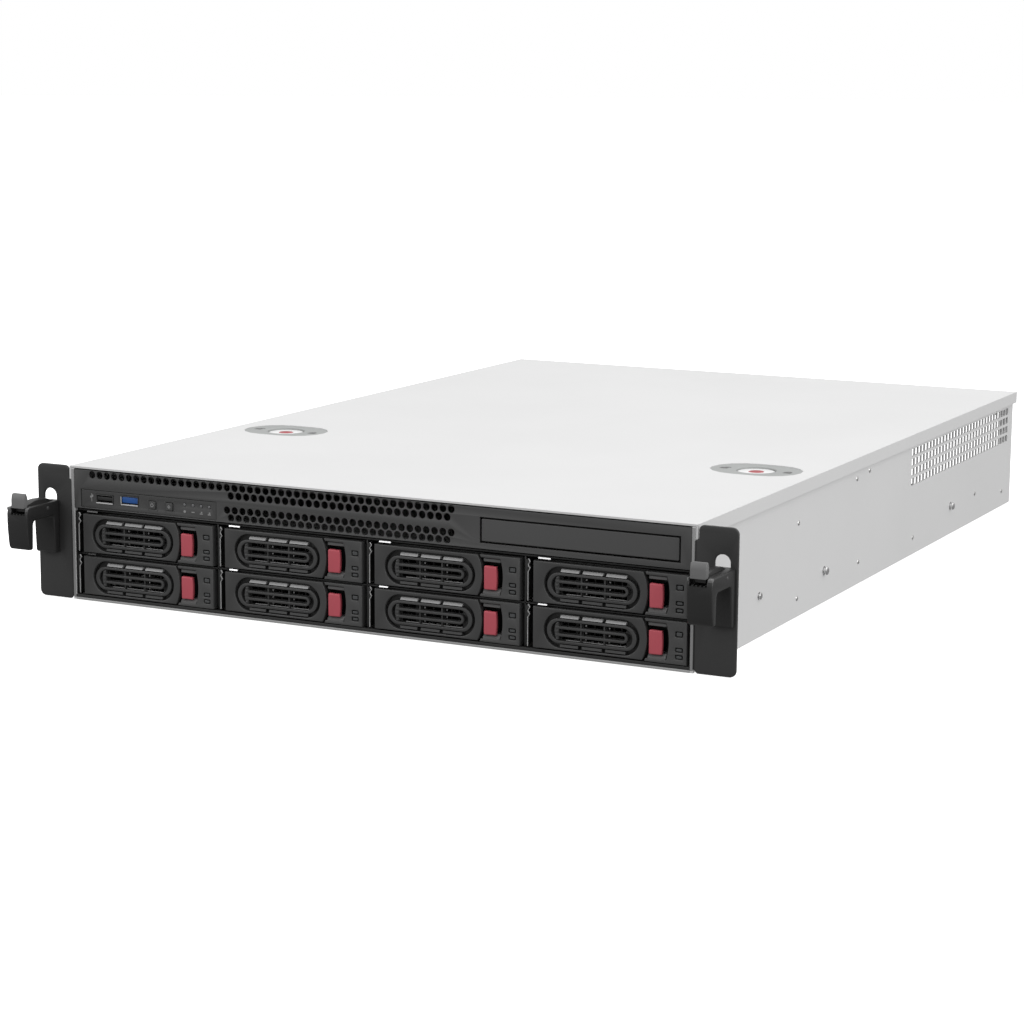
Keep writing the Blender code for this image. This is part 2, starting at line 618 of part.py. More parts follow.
def optical_bay_cover():
    outline = middled((OPTICAL_X, OPTICAL_Z), (OPTICAL_WIDTH, OPTICAL_HEIGHT))
    shell = prism("Y", FRONT + OPTICAL_SETBACK, FRONT + OPTICAL_DEPTH, outline)
    inside = (OPTICAL_WIDTH - 2 * OPTICAL_WALL, OPTICAL_HEIGHT - 2 * OPTICAL_WALL)
    hollow = prism("Y", FRONT + OPTICAL_WALL, FRONT + OPTICAL_DEPTH + BEYOND,
                   middled((OPTICAL_X, OPTICAL_Z), inside))
    add("optical_bay_cover", carved("optical_bay_cover", shell, ("DIFFERENCE", hollow)), BLACK_PLASTIC)


def usb_port(name, place, size):
    """A socket shell with its contact tongue, flush with the panel's face."""
    width, height = size
    shell = prism("Y", FRONT, FRONT + USB_DEPTH, middled(place, size))
    mouth = prism("Y", FRONT - BEYOND, FRONT + USB_DEPTH - USB_BACK,
                  middled(place, (width - 2 * USB_WALL, height - 2 * USB_WALL)))
    tongue_z = place[1] + height * USB_TONGUE_RISE
    tongue = prism("Y", FRONT + USB_TONGUE_SETBACK, FRONT + USB_DEPTH - USB_BACK / 2,
                   middled((place[0], tongue_z),
                           (width * USB_TONGUE_SHARE[0], height * USB_TONGUE_SHARE[1])))
    add(name, carved(name, shell, ("DIFFERENCE", mouth), ("UNION", tongue)), PORT_STEEL)


def panel_key(name, x):
    """A push key: a square cap through the panel and a wider flange behind it."""
    cap = prism("Y", FRONT - KEY_PROUD, FRONT + KEY_DEPTH, middled((x, KEY_Z), (KEY_SIDE, KEY_SIDE)))
    flange_front = FRONT + PANEL_THICK + FIT
    wide = KEY_SIDE + 2 * KEY_FLANGE
    flange = prism("Y", flange_front, flange_front + KEY_FLANGE_THICK, middled((x, KEY_Z), (wide, wide)))
    add(name, carved(name, cap, ("UNION", flange)), BLACK_PLASTIC, origin=(x, FRONT - KEY_PROUD, KEY_Z))


def status_light_pipe():
    """Four light pins on one bar behind the panel."""
    bar_front = FRONT + PANEL_THICK + LIGHT_BAR_SETBACK
    half = LIGHT_BAR_SIDE / 2
    bar = box(LIGHT_PLACES[0] - half, LIGHT_PLACES[-1] + half, bar_front, bar_front + LIGHT_BAR_SIDE,
              LIGHT_Z - half, LIGHT_Z + half)
    pins = together(
        prism("Y", FRONT, bar_front + half, circle(x, LIGHT_Z, LIGHT_RADIUS, 8)) for x in LIGHT_PLACES
    )
    add("status_light_pipe", carved("status_light_pipe", bar, ("UNION", pins)), CLEAR_PIPE)


# ---- drive cage ----------------------------------------------------------------------------------
SHELF_Z = TRAY_BOTTOM_Z + BEZEL_HEIGHT + FIT       # underside of the shelf between the rows
CAGE_FRONT = FRONT + CAGE_SETBACK
CAGE_REAR = FRONT + CAGE_DEPTH
SHELF_REAR = CAGE_REAR - SHELF_SHORT
CAGE_HALF = WALL_INNER_X - HEM - FIT


def cage_top_plate():
    plate = box(-CAGE_HALF, CAGE_HALF, CAGE_FRONT, CAGE_REAR, CAGE_TOP_Z, CAGE_TOP_Z + CAGE_SHEET)
    add("cage_top_plate", mesh_of("cage_top_plate", plate), BARE_STEEL)


def cage_shelf():
    plate = box(-CAGE_HALF, CAGE_HALF, CAGE_FRONT, SHELF_REAR, SHELF_Z, SHELF_Z + SHELF_SHEET)
    add("cage_shelf", mesh_of("cage_shelf", plate), BARE_STEEL)


def cage_divider(number):
    """An upright sheet between two columns, slotted from the front to take the shelf."""
    x = BAY_LEFT_X + number * BAY_PITCH_X
    slot_end = SHELF_REAR + FIT
    slot_low, slot_high = SHELF_Z - FIT, SHELF_Z + SHELF_SHEET + FIT
    outline = [
        (CAGE_FRONT, PAN_TOP_Z), (CAGE_REAR, PAN_TOP_Z), (CAGE_REAR, CAGE_TOP_Z - FIT),
        (CAGE_FRONT, CAGE_TOP_Z - FIT), (CAGE_FRONT, slot_high), (slot_end, slot_high),
        (slot_end, slot_low), (CAGE_FRONT, slot_low),
    ]
    name = "cage_divider_%d" % number
    sheet = prism("X", x - CAGE_SHEET / 2, x + CAGE_SHEET / 2, outline)
    add(name, mesh_of(name, sheet), BARE_STEEL)


def bays():
    """Each bay's number, left boundary and bezel bottom, along the upper row and then the lower."""
    number = 0
    for row in reversed(range(BAY_ROWS)):
        for column in range(BAY_COLUMNS):
            number += 1
            yield number, BAY_LEFT_X + column * BAY_PITCH_X, TRAY_BOTTOM_Z + row * BAY_PITCH_Z


def backplane():
    """The board behind the drives, with air gaps and one connector for each bay."""
    front = CAGE_REAR + BACKPLANE_GAP
    gaps = []
    sockets = []
    for _, left, bottom in bays():
        middle = left + BAY_PITCH_X / 2
        gaps.append(middled((middle, bottom + AIR_GAP_RISE), AIR_GAP_SIZE))
        sockets.append(prism("Y", front - CONNECTOR_DEPTH, front + BACKPLANE_THICK / 2,
                             middled((middle, bottom + CONNECTOR_RISE), CONNECTOR_SIZE)))
    outline = rectangle(-CAGE_HALF, CAGE_HALF, PAN_TOP_Z, CAGE_TOP_Z + CAGE_SHEET)
    board = prism("Y", front, front + BACKPLANE_THICK, outline, gaps)
    add("backplane", carved("backplane", board, ("UNION", together(sockets))), BOARD_GREEN)


# ---- drive trays, modelled with the bezel's lower left front corner at the origin ----------------
HINGE_X = LEVER_END_GAP + LEVER_THICK / 2
HINGE_Y = LEVER_THICK / 2
RAIL_OUTER = DRIVE_WIDTH / 2 + DRIVE_FIT + RAIL_SHEET
RAIL_MIDDLE = BAY_PITCH_X / 2 - BEZEL_INSET


def tray_mesh():
    """Bezel with lever pocket and button recess, and the two rails that hold the drive."""
    block = box(0, BEZEL_WIDTH, 0, BEZEL_DEPTH, 0, BEZEL_HEIGHT)
    lever_pocket = box(-BEYOND, LEVER_WIDTH + BEYOND, -BEYOND, LEVER_POCKET,
                       -BEYOND, BEZEL_HEIGHT + BEYOND)
    recess_top = BEZEL_HEIGHT - RECESS_MARGIN_Z
    recess_outline = [(LEVER_WIDTH, recess_top), (LEVER_WIDTH, RECESS_MARGIN_Z)]
    recess_outline += chord_arc(RECESS_RIGHT - RECESS_BULGE, RECESS_MARGIN_Z, recess_top, RECESS_BULGE, 4)
    recess = prism("Y", -BEYOND, BUTTON_POCKET, recess_outline)
    hollow = box(BEZEL_END_WALL, LEVER_WIDTH - BEZEL_END_WALL, LEVER_POCKET + POCKET_WALL,
                 BEZEL_DEPTH + BEYOND, BEZEL_WALL, BEZEL_HEIGHT - BEZEL_WALL)
    window_pitch = (LEVER_WIDTH - 2 * WINDOW_END) / AIR_SLOT_COLUMNS
    window_width = window_pitch - WINDOW_POST
    windows = together(
        box(WINDOW_END + i * window_pitch, WINDOW_END + i * window_pitch + window_width,
            LEVER_POCKET - BEYOND, LEVER_POCKET + POCKET_WALL + BEYOND,
            WINDOW_MARGIN, BEZEL_HEIGHT - WINDOW_MARGIN)
        for i in range(AIR_SLOT_COLUMNS)
    )
    rail_left = RAIL_MIDDLE - RAIL_OUTER
    rail_right = RAIL_MIDDLE + RAIL_OUTER
    cross_front = BEZEL_DEPTH - RAIL_LAP
    cross_rear = cross_front + RAIL_SHEET
    channel = prism("Z", 0, RAIL_HEIGHT, [
        (rail_left, cross_front), (rail_right, cross_front), (rail_right, RAIL_LENGTH),
        (rail_right - RAIL_SHEET, RAIL_LENGTH), (rail_right - RAIL_SHEET, cross_rear),
        (rail_left + RAIL_SHEET, cross_rear), (rail_left + RAIL_SHEET, RAIL_LENGTH),
        (rail_left, RAIL_LENGTH),
    ])
    air_gap = box(CHANNEL_GAP_END, LEVER_WIDTH - CHANNEL_GAP_END, cross_front - BEYOND,
                  cross_rear + BEYOND, CHANNEL_GAP_EDGE, RAIL_HEIGHT - CHANNEL_GAP_EDGE)
    ears = together(hinge_ear(low) for low in (0, BEZEL_HEIGHT - HINGE_EAR_HEIGHT))
    return carved("drive_tray", block, ("DIFFERENCE", lever_pocket), ("DIFFERENCE", recess),
                  ("DIFFERENCE", hollow), ("DIFFERENCE", windows), ("UNION", channel),
                  ("DIFFERENCE", air_gap), ("UNION", ears))


def hinge_ear(low):
    """One of the two ears that hold the lever's pins, rounded about the hinge axis."""
    outline = arc(HINGE_X, HINGE_Y, HINGE_EAR_RADIUS, 180, 360, 4)
    root = LEVER_POCKET + HINGE_EAR_ROOT
    outline += [(HINGE_X + HINGE_EAR_RADIUS, root), (HINGE_X - HINGE_EAR_RADIUS, root)]
    pin_hole = circle(HINGE_X, HINGE_Y, HINGE_PIN_RADIUS + FIT, 6)
    return prism("Z", low, low + HINGE_EAR_HEIGHT, outline, [pin_hole])


def lever_mesh():
    """The pull lever: a barrel on its hinge, a plate with air slots and a rounded free end."""
    end = LEVER_WIDTH + LEVER_BULGE
    plan = arc(HINGE_X, HINGE_Y, LEVER_THICK / 2, 90, 270, 5) + [(end, 0), (end, LEVER_THICK)]
    plate = prism("Z", FIT, BEZEL_HEIGHT - FIT, plan)
    past_end = end + BEYOND
    end_cut = prism("Y", -BEYOND, LEVER_THICK + BEYOND, [
        (past_end, -BEYOND), (past_end, BEZEL_HEIGHT + BEYOND), (LEVER_WIDTH, BEZEL_HEIGHT + BEYOND),
        *reversed(chord_arc(LEVER_WIDTH, 0, BEZEL_HEIGHT, LEVER_BULGE, 6)),
        (LEVER_WIDTH, -BEYOND),
    ])
    ear_reach = HINGE_X + LEVER_THICK / 2
    ear_room = HINGE_EAR_HEIGHT + FIT
    notches = together([
        box(-BEYOND, ear_reach, -BEYOND, LEVER_THICK + BEYOND, -BEYOND, ear_room),
        box(-BEYOND, ear_reach, -BEYOND, LEVER_THICK + BEYOND,
            BEZEL_HEIGHT - ear_room, BEZEL_HEIGHT + BEYOND),
    ])
    pin = prism("Z", HINGE_PIN_SHORT, BEZEL_HEIGHT - HINGE_PIN_SHORT,
                circle(HINGE_X, HINGE_Y, HINGE_PIN_RADIUS, 6))
    panel = prism("Y", -BEYOND, LEVER_DISH, rounded(
        LEVER_DISH_LEFT, LEVER_WIDTH - LEVER_DISH_RIM, LEVER_DISH_RIM, BEZEL_HEIGHT - LEVER_DISH_RIM,
        BEZEL_HEIGHT / 2 - LEVER_DISH_RIM, 2))
    slots = []
    for column in range(AIR_SLOT_COLUMNS):
        for row in range(AIR_SLOT_ROWS):
            left = LEVER_SLOT_LEFT + column * LEVER_SLOT_PITCH
            low = LEVER_SLOT_BOTTOM + row * LEVER_SLOT_RISE
            slots.append(box(left, left + LEVER_SLOT_LENGTH, -BEYOND, LEVER_THICK + BEYOND,
                             low, low + LEVER_SLOT_HEIGHT))
    return carved("tray_lever", plate, ("DIFFERENCE", end_cut), ("DIFFERENCE", notches),
                  ("UNION", pin), ("DIFFERENCE", panel), ("DIFFERENCE", together(slots)))


def tray_button_mesh():
    right = BUTTON_LEFT + BUTTON_WIDTH
    top = BUTTON_BOTTOM + BUTTON_HEIGHT
    outline = rounded(BUTTON_LEFT, right, BUTTON_BOTTOM, top, BUTTON_CORNER, 2)
    return mesh_of("tray_button", prism("Y", 0.0, BUTTON_DEPTH, outline))


def recentred(mesh, point):
    """The mesh with the given point as its origin."""
    mesh.transform(Matrix.Translation(-Vector(point)))
    return mesh


def drive_trays():
    button_point = (BUTTON_LEFT + BUTTON_WIDTH / 2, 0, BUTTON_BOTTOM + BUTTON_HEIGHT / 2)
    hinge_point = (HINGE_X, HINGE_Y, BEZEL_HEIGHT / 2)
    tray = tray_mesh()
    lever = recentred(lever_mesh(), hinge_point)
    button = recentred(tray_button_mesh(), button_point)
    for number, left, bottom in bays():
        corner = Vector((left + BEZEL_INSET, FRONT, bottom))
        holder = add("drive_tray_%d" % number, tray, BLACK_PLASTIC, origin=corner, at_origin=True)
        add("tray_lever_%d" % number, lever, BLACK_PAINT, origin=corner + Vector(hinge_point),
            parent=holder, at_origin=True)
        add("tray_button_%d" % number, button, RED_PLASTIC, origin=corner + Vector(button_point),
            parent=holder, at_origin=True)


# ---- fans ----------------------------------------------------------------------------------------
FAN_WALL_Y = FRONT + FAN_WALL_SETBACK
FAN_FRONT_Y = FAN_WALL_Y + SHEET + FIT
FAN_XS = [(i - (FAN_COUNT - 1) / 2) * FAN_PITCH for i in range(FAN_COUNT)]


def fan_bracket():
    half = WALL_INNER_X - FIT
    side = FAN_SIDE - 2 * FAN_LAP
    bores = [middled((x, FAN_Z), (side, side)) for x in FAN_XS]
    outline = rectangle(-half, half, PAN_TOP_Z, WALL_TOP_Z)
    wall = prism("Y", FAN_WALL_Y, FAN_WALL_Y + SHEET, outline, bores)
    add("fan_bracket", mesh_of("fan_bracket", wall), BARE_STEEL)


def fan_frame(number, x):
    """A square frame with a round bore, and the spider at its rear that carries the motor."""
    rear = FAN_FRONT_Y + FAN_DEPTH
    side = FAN_SIDE / 2
    outline = rounded(x - side, x + side, FAN_Z - side, FAN_Z + side, FAN_CORNER, 2)
    body = prism("Y", FAN_FRONT_Y, rear, outline, [circle(x, FAN_Z, FAN_BORE_RADIUS, 18)])
    reach = FAN_BORE_RADIUS + BEYOND
    half = SPIDER_WIDTH / 2
    spider_front = rear - SPIDER_THICK
    rung = box(x - reach, x + reach, spider_front, rear, FAN_Z - half, FAN_Z + half)
    post = box(x - half, x + half, spider_front, rear, FAN_Z - reach, FAN_Z + reach)
    seat = turned("Y", (x, 0, FAN_Z), [(0, -spider_front), (FAN_HUB_RADIUS, -spider_front),
                                       (FAN_HUB_RADIUS, -rear), (0, -rear)], 16)
    name = "fan_frame_%d" % number
    mesh = carved(name, body, ("UNION", rung), ("UNION", post), ("UNION", seat))
    add(name, mesh, BLACK_PLASTIC)


def fan_blade(turn, root, tip, front, rear):
    """One pitched blade, leaning back as it runs out from the hub."""
    blade = bmesh.new()
    half_chord = (rear - front) / 2
    middle = (rear + front) / 2
    corners = []
    for radius, lean in ((root, 0.0), (tip, BLADE_LEAN)):
        for end in (-1, 1):
            sweep = end * half_chord * sin(FAN_PITCH_ANGLE) / radius * BLADE_WIDEN + lean
            for face in (-1, 1):
                angle = turn + sweep + face * BLADE_THICK / (2 * radius)
                y = middle + end * half_chord
                corners.append(blade.verts.new((radius * cos(angle), y, radius * sin(angle))))
    r0, r1, r2, r3, t0, t1, t2, t3 = corners
    for ring in ((r0, r1, r3, r2), (t0, t2, t3, t1), (r0, t0, t1, r1), (r2, r3, t3, t2),
                 (r0, r2, t2, t0), (r1, t1, t3, r3)):
        blade.faces.new(ring)
    bmesh.ops.triangulate(blade, faces=blade.faces[:])
    bmesh.ops.recalc_face_normals(blade, faces=blade.faces[:])
    return blade


def fan_rotor(number, x):
    front = FAN_FRONT_Y + ROTOR_SETBACK
    rear = FAN_FRONT_Y + FAN_DEPTH - SPIDER_THICK - ROTOR_REAR_GAP
    tip = FAN_BORE_RADIUS - FAN_TIP_GAP
    hub = turned("Y", (0, 0, 0), [(0, -front), (FAN_HUB_RADIUS, -front), (FAN_HUB_RADIUS, -rear),
                                  (0, -rear)], 14)
    blades = together(
        fan_blade(2 * pi * i / FAN_BLADES, FAN_HUB_RADIUS - BLADE_ROOT, tip,
                  front + BLADE_SETBACK, rear - BLADE_SETBACK)
        for i in range(FAN_BLADES)
    )
    name = "fan_rotor_%d" % number
    mesh = carved(name, hub, ("UNION", blades))
    mesh.transform(Matrix.Translation((x, 0, FAN_Z)))
    add(name, mesh, BLACK_PLASTIC, origin=(x, (front + rear) / 2, FAN_Z), smooth=True)


# ---- rack ears, handles and rack latches ---------------------------------------------------------
def rack_ear(side):
    """An angle bracket: the slotted front plate and the flange along the side panel."""
    outer = RACK_WIDTH / 2
    step_x = EAR_INNER_X + EAR_STEP
    corner = EAR_CORNER
    small = EAR_STEP_CORNER
    outline = [(EAR_INNER_X, EAR_CHAMFER), (EAR_INNER_X + EAR_CHAMFER, 0)]
    outline += arc(outer - corner, corner, corner, -90, 0, 3)
    outline += arc(outer - corner, HEIGHT - corner, corner, 0, 90, 3)
    outline += arc(step_x + small, HEIGHT - small, small, 90, 180, 3)
    outline += [(step_x, EAR_STEP_Z + (step_x - EAR_INNER_X)), (EAR_INNER_X, EAR_STEP_Z)]
    slot = rounded(RACK_HOLE_X - RACK_HOLE_RADIUS, RACK_HOLE_X + RACK_HOLE_RADIUS,
                   RACK_HOLE_BOTTOM_Z, RACK_HOLE_TOP_Z, RACK_HOLE_RADIUS, 4)
    plate = prism("Y", FRONT, FRONT + EAR_THICK, outline, [slot])
    flange = box(WALL_X + FIT, WALL_X + FIT + EAR_THICK, FRONT + EAR_THICK / 2,
                 FRONT + EAR_FLANGE_DEPTH, EAR_FLANGE_BOTTOM_Z, EAR_FLANGE_TOP_Z)
    mesh = carved("rack_ear", plate, ("UNION", flange))
    if side == "left":
        mesh.transform(Matrix.Scale(-1, 4, (1, 0, 0)))
        mesh.flip_normals()
    add("rack_ear_" + side, mesh, BLACK_PAINT)


def ear_handle(side):
    """A hook-shaped pull: a leg on the ear, an arm forward and a grip hanging from it."""
    back = FRONT - FIT
    nose = FRONT - HANDLE_REACH
    under = HANDLE_TOP_Z - ARM_THICK
    grip_back = nose + GRIP_BACK
    outline = [(back, HANDLE_BOTTOM_Z), (back, HANDLE_TOP_Z)]
    outline += [(nose + behind, HANDLE_TOP_Z - below) for behind, below in GRIP_FRONT]
    outline += [(grip_back - GRIP_TOE[0], GRIP_BOTTOM_Z - GRIP_TOE[1])]
    grip_corner = arc(grip_back + GRIP_FILLET, under - GRIP_FILLET, GRIP_FILLET, 90, 180, 3)
    leg_corner = arc(FRONT - LEG_DEPTH - LEG_FILLET, under - LEG_FILLET, LEG_FILLET, 10, 90, 3)
    outline += [*reversed(grip_corner), *reversed(leg_corner)]
    outline += [(FRONT - forward, HANDLE_BOTTOM_Z + rise) for forward, rise in LEG_FOOT]
    body = prism("X", HANDLE_INNER_X, HANDLE_INNER_X + HANDLE_WIDTH, outline)
    half = LATCH_BAR_WIDTH / 2 + FIT
    above = HANDLE_TOP_Z + CHANNEL_OVERRUN
    channel = box(LATCH_BAR_X - half, LATCH_BAR_X + half, nose + CHANNEL_SETBACK, back + BEYOND,
                  LATCH_BAR_FLOOR_Z, above)
    tab_half = TAB_WIDTH / 2 + FIT
    notch = box(LATCH_BAR_X - tab_half, LATCH_BAR_X + tab_half, nose - BEYOND,
                nose + TAB_THICK + NOTCH_MARGIN, TAB_BOTTOM_Z - NOTCH_DROP, above)
    mesh = carved("ear_handle", body, ("DIFFERENCE", channel), ("DIFFERENCE", notch))
    if side == "left":
        mesh.transform(Matrix.Scale(-1, 4, (1, 0, 0)))
        mesh.flip_normals()
    add("ear_handle_" + side, mesh, BLACK_PLASTIC)


def rack_latch(side):
    """A thumb lever in the handle's channel, with a hook that reaches through the ear's slot."""
    nose = FRONT - HANDLE_REACH
    pivot_y = FRONT - LATCH_PIVOT[0]
    pivot_z = LATCH_PIVOT[1]
    bar_outline = []
    for start, points in ((nose, LATCH_BAR_FRONT), (pivot_y, LATCH_BAR_UNDER), (FRONT, LATCH_HOOK),
                          (pivot_y, LATCH_BAR_TOP), (nose, [LATCH_BAR_NOSE])):
        bar_outline += [(start + behind, pivot_z + rise) for behind, rise in points]
    half = LATCH_BAR_WIDTH / 2
    bar = prism("X", LATCH_BAR_X - half, LATCH_BAR_X + half, bar_outline)
    tab_outline = [(nose + behind, TAB_BOTTOM_Z + rise) for behind, rise in TAB_OUTLINE]
    tab = prism("X", LATCH_BAR_X - TAB_WIDTH / 2, LATCH_BAR_X + TAB_WIDTH / 2, tab_outline)
    mesh = carved("rack_latch", bar, ("UNION", tab))
    if side == "left":
        mesh.transform(Matrix.Scale(-1, 4, (1, 0, 0)))
        mesh.flip_normals()
    pivot = (SIDE_SIGN[side] * LATCH_BAR_X, pivot_y, pivot_z)
    add("rack_latch_" + side, mesh, GREY_PLASTIC, origin=pivot)


# ---- the whole enclosure -------------------------------------------------------------------------
def enclosure():
    base_pan()
    rear_panel()
    slot_cover_bank()
    cover = top_cover()
    front_panel()
    optical_bay_cover()
    usb_port("usb2_port", USB2_PLACE, USB2_SIZE)
    usb_port("usb3_port", USB3_PLACE, USB3_SIZE)
    for name, x in KEY_PLACES.items():
        panel_key(name, x)
    status_light_pipe()
    cage_top_plate()
    cage_shelf()
    for number in range(1, BAY_COLUMNS):
        cage_divider(number)
    backplane()
    drive_trays()
    fan_bracket()
    for number, x in enumerate(FAN_XS, 1):
        fan_frame(number, x)
        fan_rotor(number, x)
    for side in SIDE_SIGN:
        side_panel(side)
        cover_latch(side, cover)
        rack_ear(side)
        ear_handle(side)
        rack_latch(side)


enclosure()
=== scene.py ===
"""The looks of the rack NAS enclosure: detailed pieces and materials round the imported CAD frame."""
import json
from math import atan2, cos, pi, radians, sin

import bmesh
import bpy
from mathutils import Matrix, Vector

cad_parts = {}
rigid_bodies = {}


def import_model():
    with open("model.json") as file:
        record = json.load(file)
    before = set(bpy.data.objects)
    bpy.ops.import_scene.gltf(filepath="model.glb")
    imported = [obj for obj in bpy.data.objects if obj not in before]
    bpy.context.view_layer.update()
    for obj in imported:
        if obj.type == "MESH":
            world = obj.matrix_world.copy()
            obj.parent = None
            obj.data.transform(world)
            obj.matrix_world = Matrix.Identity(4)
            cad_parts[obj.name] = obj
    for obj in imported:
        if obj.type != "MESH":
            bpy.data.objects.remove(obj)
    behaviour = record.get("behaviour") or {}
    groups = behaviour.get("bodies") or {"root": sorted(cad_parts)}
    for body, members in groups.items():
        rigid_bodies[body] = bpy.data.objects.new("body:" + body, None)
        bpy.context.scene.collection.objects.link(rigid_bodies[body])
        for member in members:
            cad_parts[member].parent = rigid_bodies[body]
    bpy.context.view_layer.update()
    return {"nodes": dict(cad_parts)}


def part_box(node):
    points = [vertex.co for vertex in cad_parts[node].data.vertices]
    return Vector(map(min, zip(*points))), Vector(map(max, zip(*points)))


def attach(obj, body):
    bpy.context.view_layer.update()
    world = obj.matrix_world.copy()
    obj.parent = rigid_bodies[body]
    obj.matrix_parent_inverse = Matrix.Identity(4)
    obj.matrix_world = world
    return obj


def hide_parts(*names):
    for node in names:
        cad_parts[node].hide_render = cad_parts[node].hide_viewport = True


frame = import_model()
NODES = frame["nodes"]

# ---- places and sizes that come from the frame, in metres ----------------------------------------
PANEL_LOW, PANEL_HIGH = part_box("front_panel")
COVER_LOW, COVER_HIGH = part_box("top_cover")
WALL_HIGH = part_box("side_panel_right")[1]
FRONT = PANEL_LOW.y
PAN_HALF = 0.2130
TRAYS = range(1, 9)
FANS = range(1, 4)
SIDES = ("left", "right")


# ---- materials -----------------------------------------------------------------------------------
def new_material(name):
    made = bpy.data.materials.new(name)
    made.use_nodes = True
    return made, made.node_tree, made.node_tree.nodes["Principled BSDF"]


def mapped_noise(tree, scale, detail, stretch=(1, 1, 1)):
    """Noise in the object's own coordinates, stretched per axis."""
    coords = tree.nodes.new("ShaderNodeTexCoord")
    mapping = tree.nodes.new("ShaderNodeMapping")
    mapping.inputs["Scale"].default_value = stretch
    noise = tree.nodes.new("ShaderNodeTexNoise")
    noise.inputs["Scale"].default_value = scale
    noise.inputs["Detail"].default_value = detail
    tree.links.new(coords.outputs["Object"], mapping.inputs["Vector"])
    tree.links.new(mapping.outputs["Vector"], noise.inputs["Vector"])
    return noise


def ramp_between(tree, source, low, high, start=0.35, end=0.65):
    """A colour ramp from one colour to another over part of a value's range."""
    ramp = tree.nodes.new("ShaderNodeValToRGB")
    ramp.color_ramp.elements[0].position = start
    ramp.color_ramp.elements[1].position = end
    ramp.color_ramp.elements[0].color = (*low, 1)
    ramp.color_ramp.elements[1].color = (*high, 1)
    tree.links.new(source, ramp.inputs["Fac"])
    return ramp


def ranged(tree, source, low, high):
    """A value mapped from 0..1 to low..high."""
    node = tree.nodes.new("ShaderNodeMapRange")
    node.inputs["To Min"].default_value = low
    node.inputs["To Max"].default_value = high
    tree.links.new(source, node.inputs["Value"])
    return node.outputs["Result"]


def bumped(tree, shader, height, strength, distance):
    bump = tree.nodes.new("ShaderNodeBump")
    bump.inputs["Strength"].default_value = strength
    bump.inputs["Distance"].default_value = distance
    tree.links.new(height, bump.inputs["Height"])
    tree.links.new(bump.outputs["Normal"], shader.inputs["Normal"])


def grey(value):
    return value, value, value


GRAIN_DEPTH = 0.0002


def surface(name, colour, vary, rough, rough_vary, metallic, grain, strength, stretch=(1, 1, 1),
            broad=9.0, coat=0.0):
    """A finish with broad colour variation, uneven roughness and a fine grain in its bump."""
    made, tree, shader = new_material(name)
    cloud = mapped_noise(tree, broad, 4.0)
    low = tuple(c * (1 - vary) for c in colour)
    high = tuple(min(1.0, c * (1 + vary)) for c in colour)
    ramp = ramp_between(tree, cloud.outputs["Fac"], low, high)
    tree.links.new(ramp.outputs["Color"], shader.inputs["Base Color"])
    fine = mapped_noise(tree, grain, 2.0, stretch)
    tree.links.new(ranged(tree, fine.outputs["Fac"], rough - rough_vary, rough + rough_vary),
                   shader.inputs["Roughness"])
    shader.inputs["Metallic"].default_value = metallic
    shader.inputs["Coat Weight"].default_value = coat
    bumped(tree, shader, fine.outputs["Fac"], strength, GRAIN_DEPTH)
    return made


LIGHT_PAINT = surface("light_paint", grey(0.70), 0.012, 0.42, 0.05, 0.0, 1400, 0.10)
STEEL = surface("zinc_steel", (0.56, 0.56, 0.55), 0.05, 0.34, 0.08, 0.95, 900, 0.12, (1, 0.06, 1))
EDGE_STEEL = surface("edge_steel", grey(0.30), 0.05, 0.42, 0.06, 0.1, 900, 0.12)
LIP_STEEL = surface("lip_steel", grey(0.42), 0.05, 0.42, 0.06, 0.1, 900, 0.12)
DARK_STEEL = surface("dark_steel", grey(0.10), 0.06, 0.45, 0.08, 0.6, 900, 0.12)
BLACK_PAINT = surface("black_paint", grey(0.070), 0.05, 0.46, 0.06, 0.0, 1800, 0.22)
EAR_PAINT = surface("ear_paint", grey(0.034), 0.05, 0.48, 0.06, 0.0, 1800, 0.22)
BLACK_PLASTIC = surface("black_plastic", grey(0.020), 0.06, 0.46, 0.06, 0.0, 2600, 0.16)
BEZEL_PLASTIC = surface("bezel_plastic", grey(0.066), 0.06, 0.42, 0.06, 0.0, 2600, 0.16)
LEVER_PLASTIC = surface("lever_plastic", grey(0.052), 0.06, 0.40, 0.06, 0.0, 2600, 0.16)
HANDLE_PLASTIC = surface("handle_plastic", grey(0.016), 0.06, 0.40, 0.06, 0.0, 2600, 0.14)
# Dark grey tab plastic, lightened with a painted highlight for the light off its smooth top; also used
# for the handle shoulders.
TAB_GREY_PAINTED_HIGHLIGHT = surface("tab_grey_painted_highlight", grey(0.150), 0.05, 0.46, 0.06, 0.0, 2600, 0.2)
RED_PLASTIC = surface("red_plastic", (0.52, 0.088, 0.115), 0.05, 0.42, 0.05, 0.0, 2600, 0.14)
LATCH_GREY = surface("latch_grey", (0.33, 0.34, 0.335), 0.03, 0.46, 0.05, 0.0, 2200, 0.12)
LATCH_WHITE = surface("latch_white", grey(0.84), 0.01, 0.30, 0.04, 0.0, 2200, 0.06)
DOT_RED = surface("dot_red", (0.36, 0.010, 0.022), 0.03, 0.30, 0.04, 0.0, 2200, 0.06)
MARK_DARK = surface("mark_dark", grey(0.12), 0.02, 0.5, 0.04, 0.0, 2200, 0.05)
MARK_LIGHT = surface("mark_light", grey(0.30), 0.02, 0.5, 0.04, 0.0, 2200, 0.05)
GLEAM = surface("bright_spring", grey(0.92), 0.02, 0.30, 0.05, 1.0, 1200, 0.04)
NICKEL = surface("nickel", grey(0.70), 0.03, 0.24, 0.05, 1.0, 1200, 0.05)
CONTACT = surface("contact_steel", grey(0.62), 0.05, 0.36, 0.06, 0.15, 1200, 0.05)
USB_BLUE = surface("usb_blue", (0.018, 0.095, 0.34), 0.03, 0.34, 0.04, 0.0, 2200, 0.05)
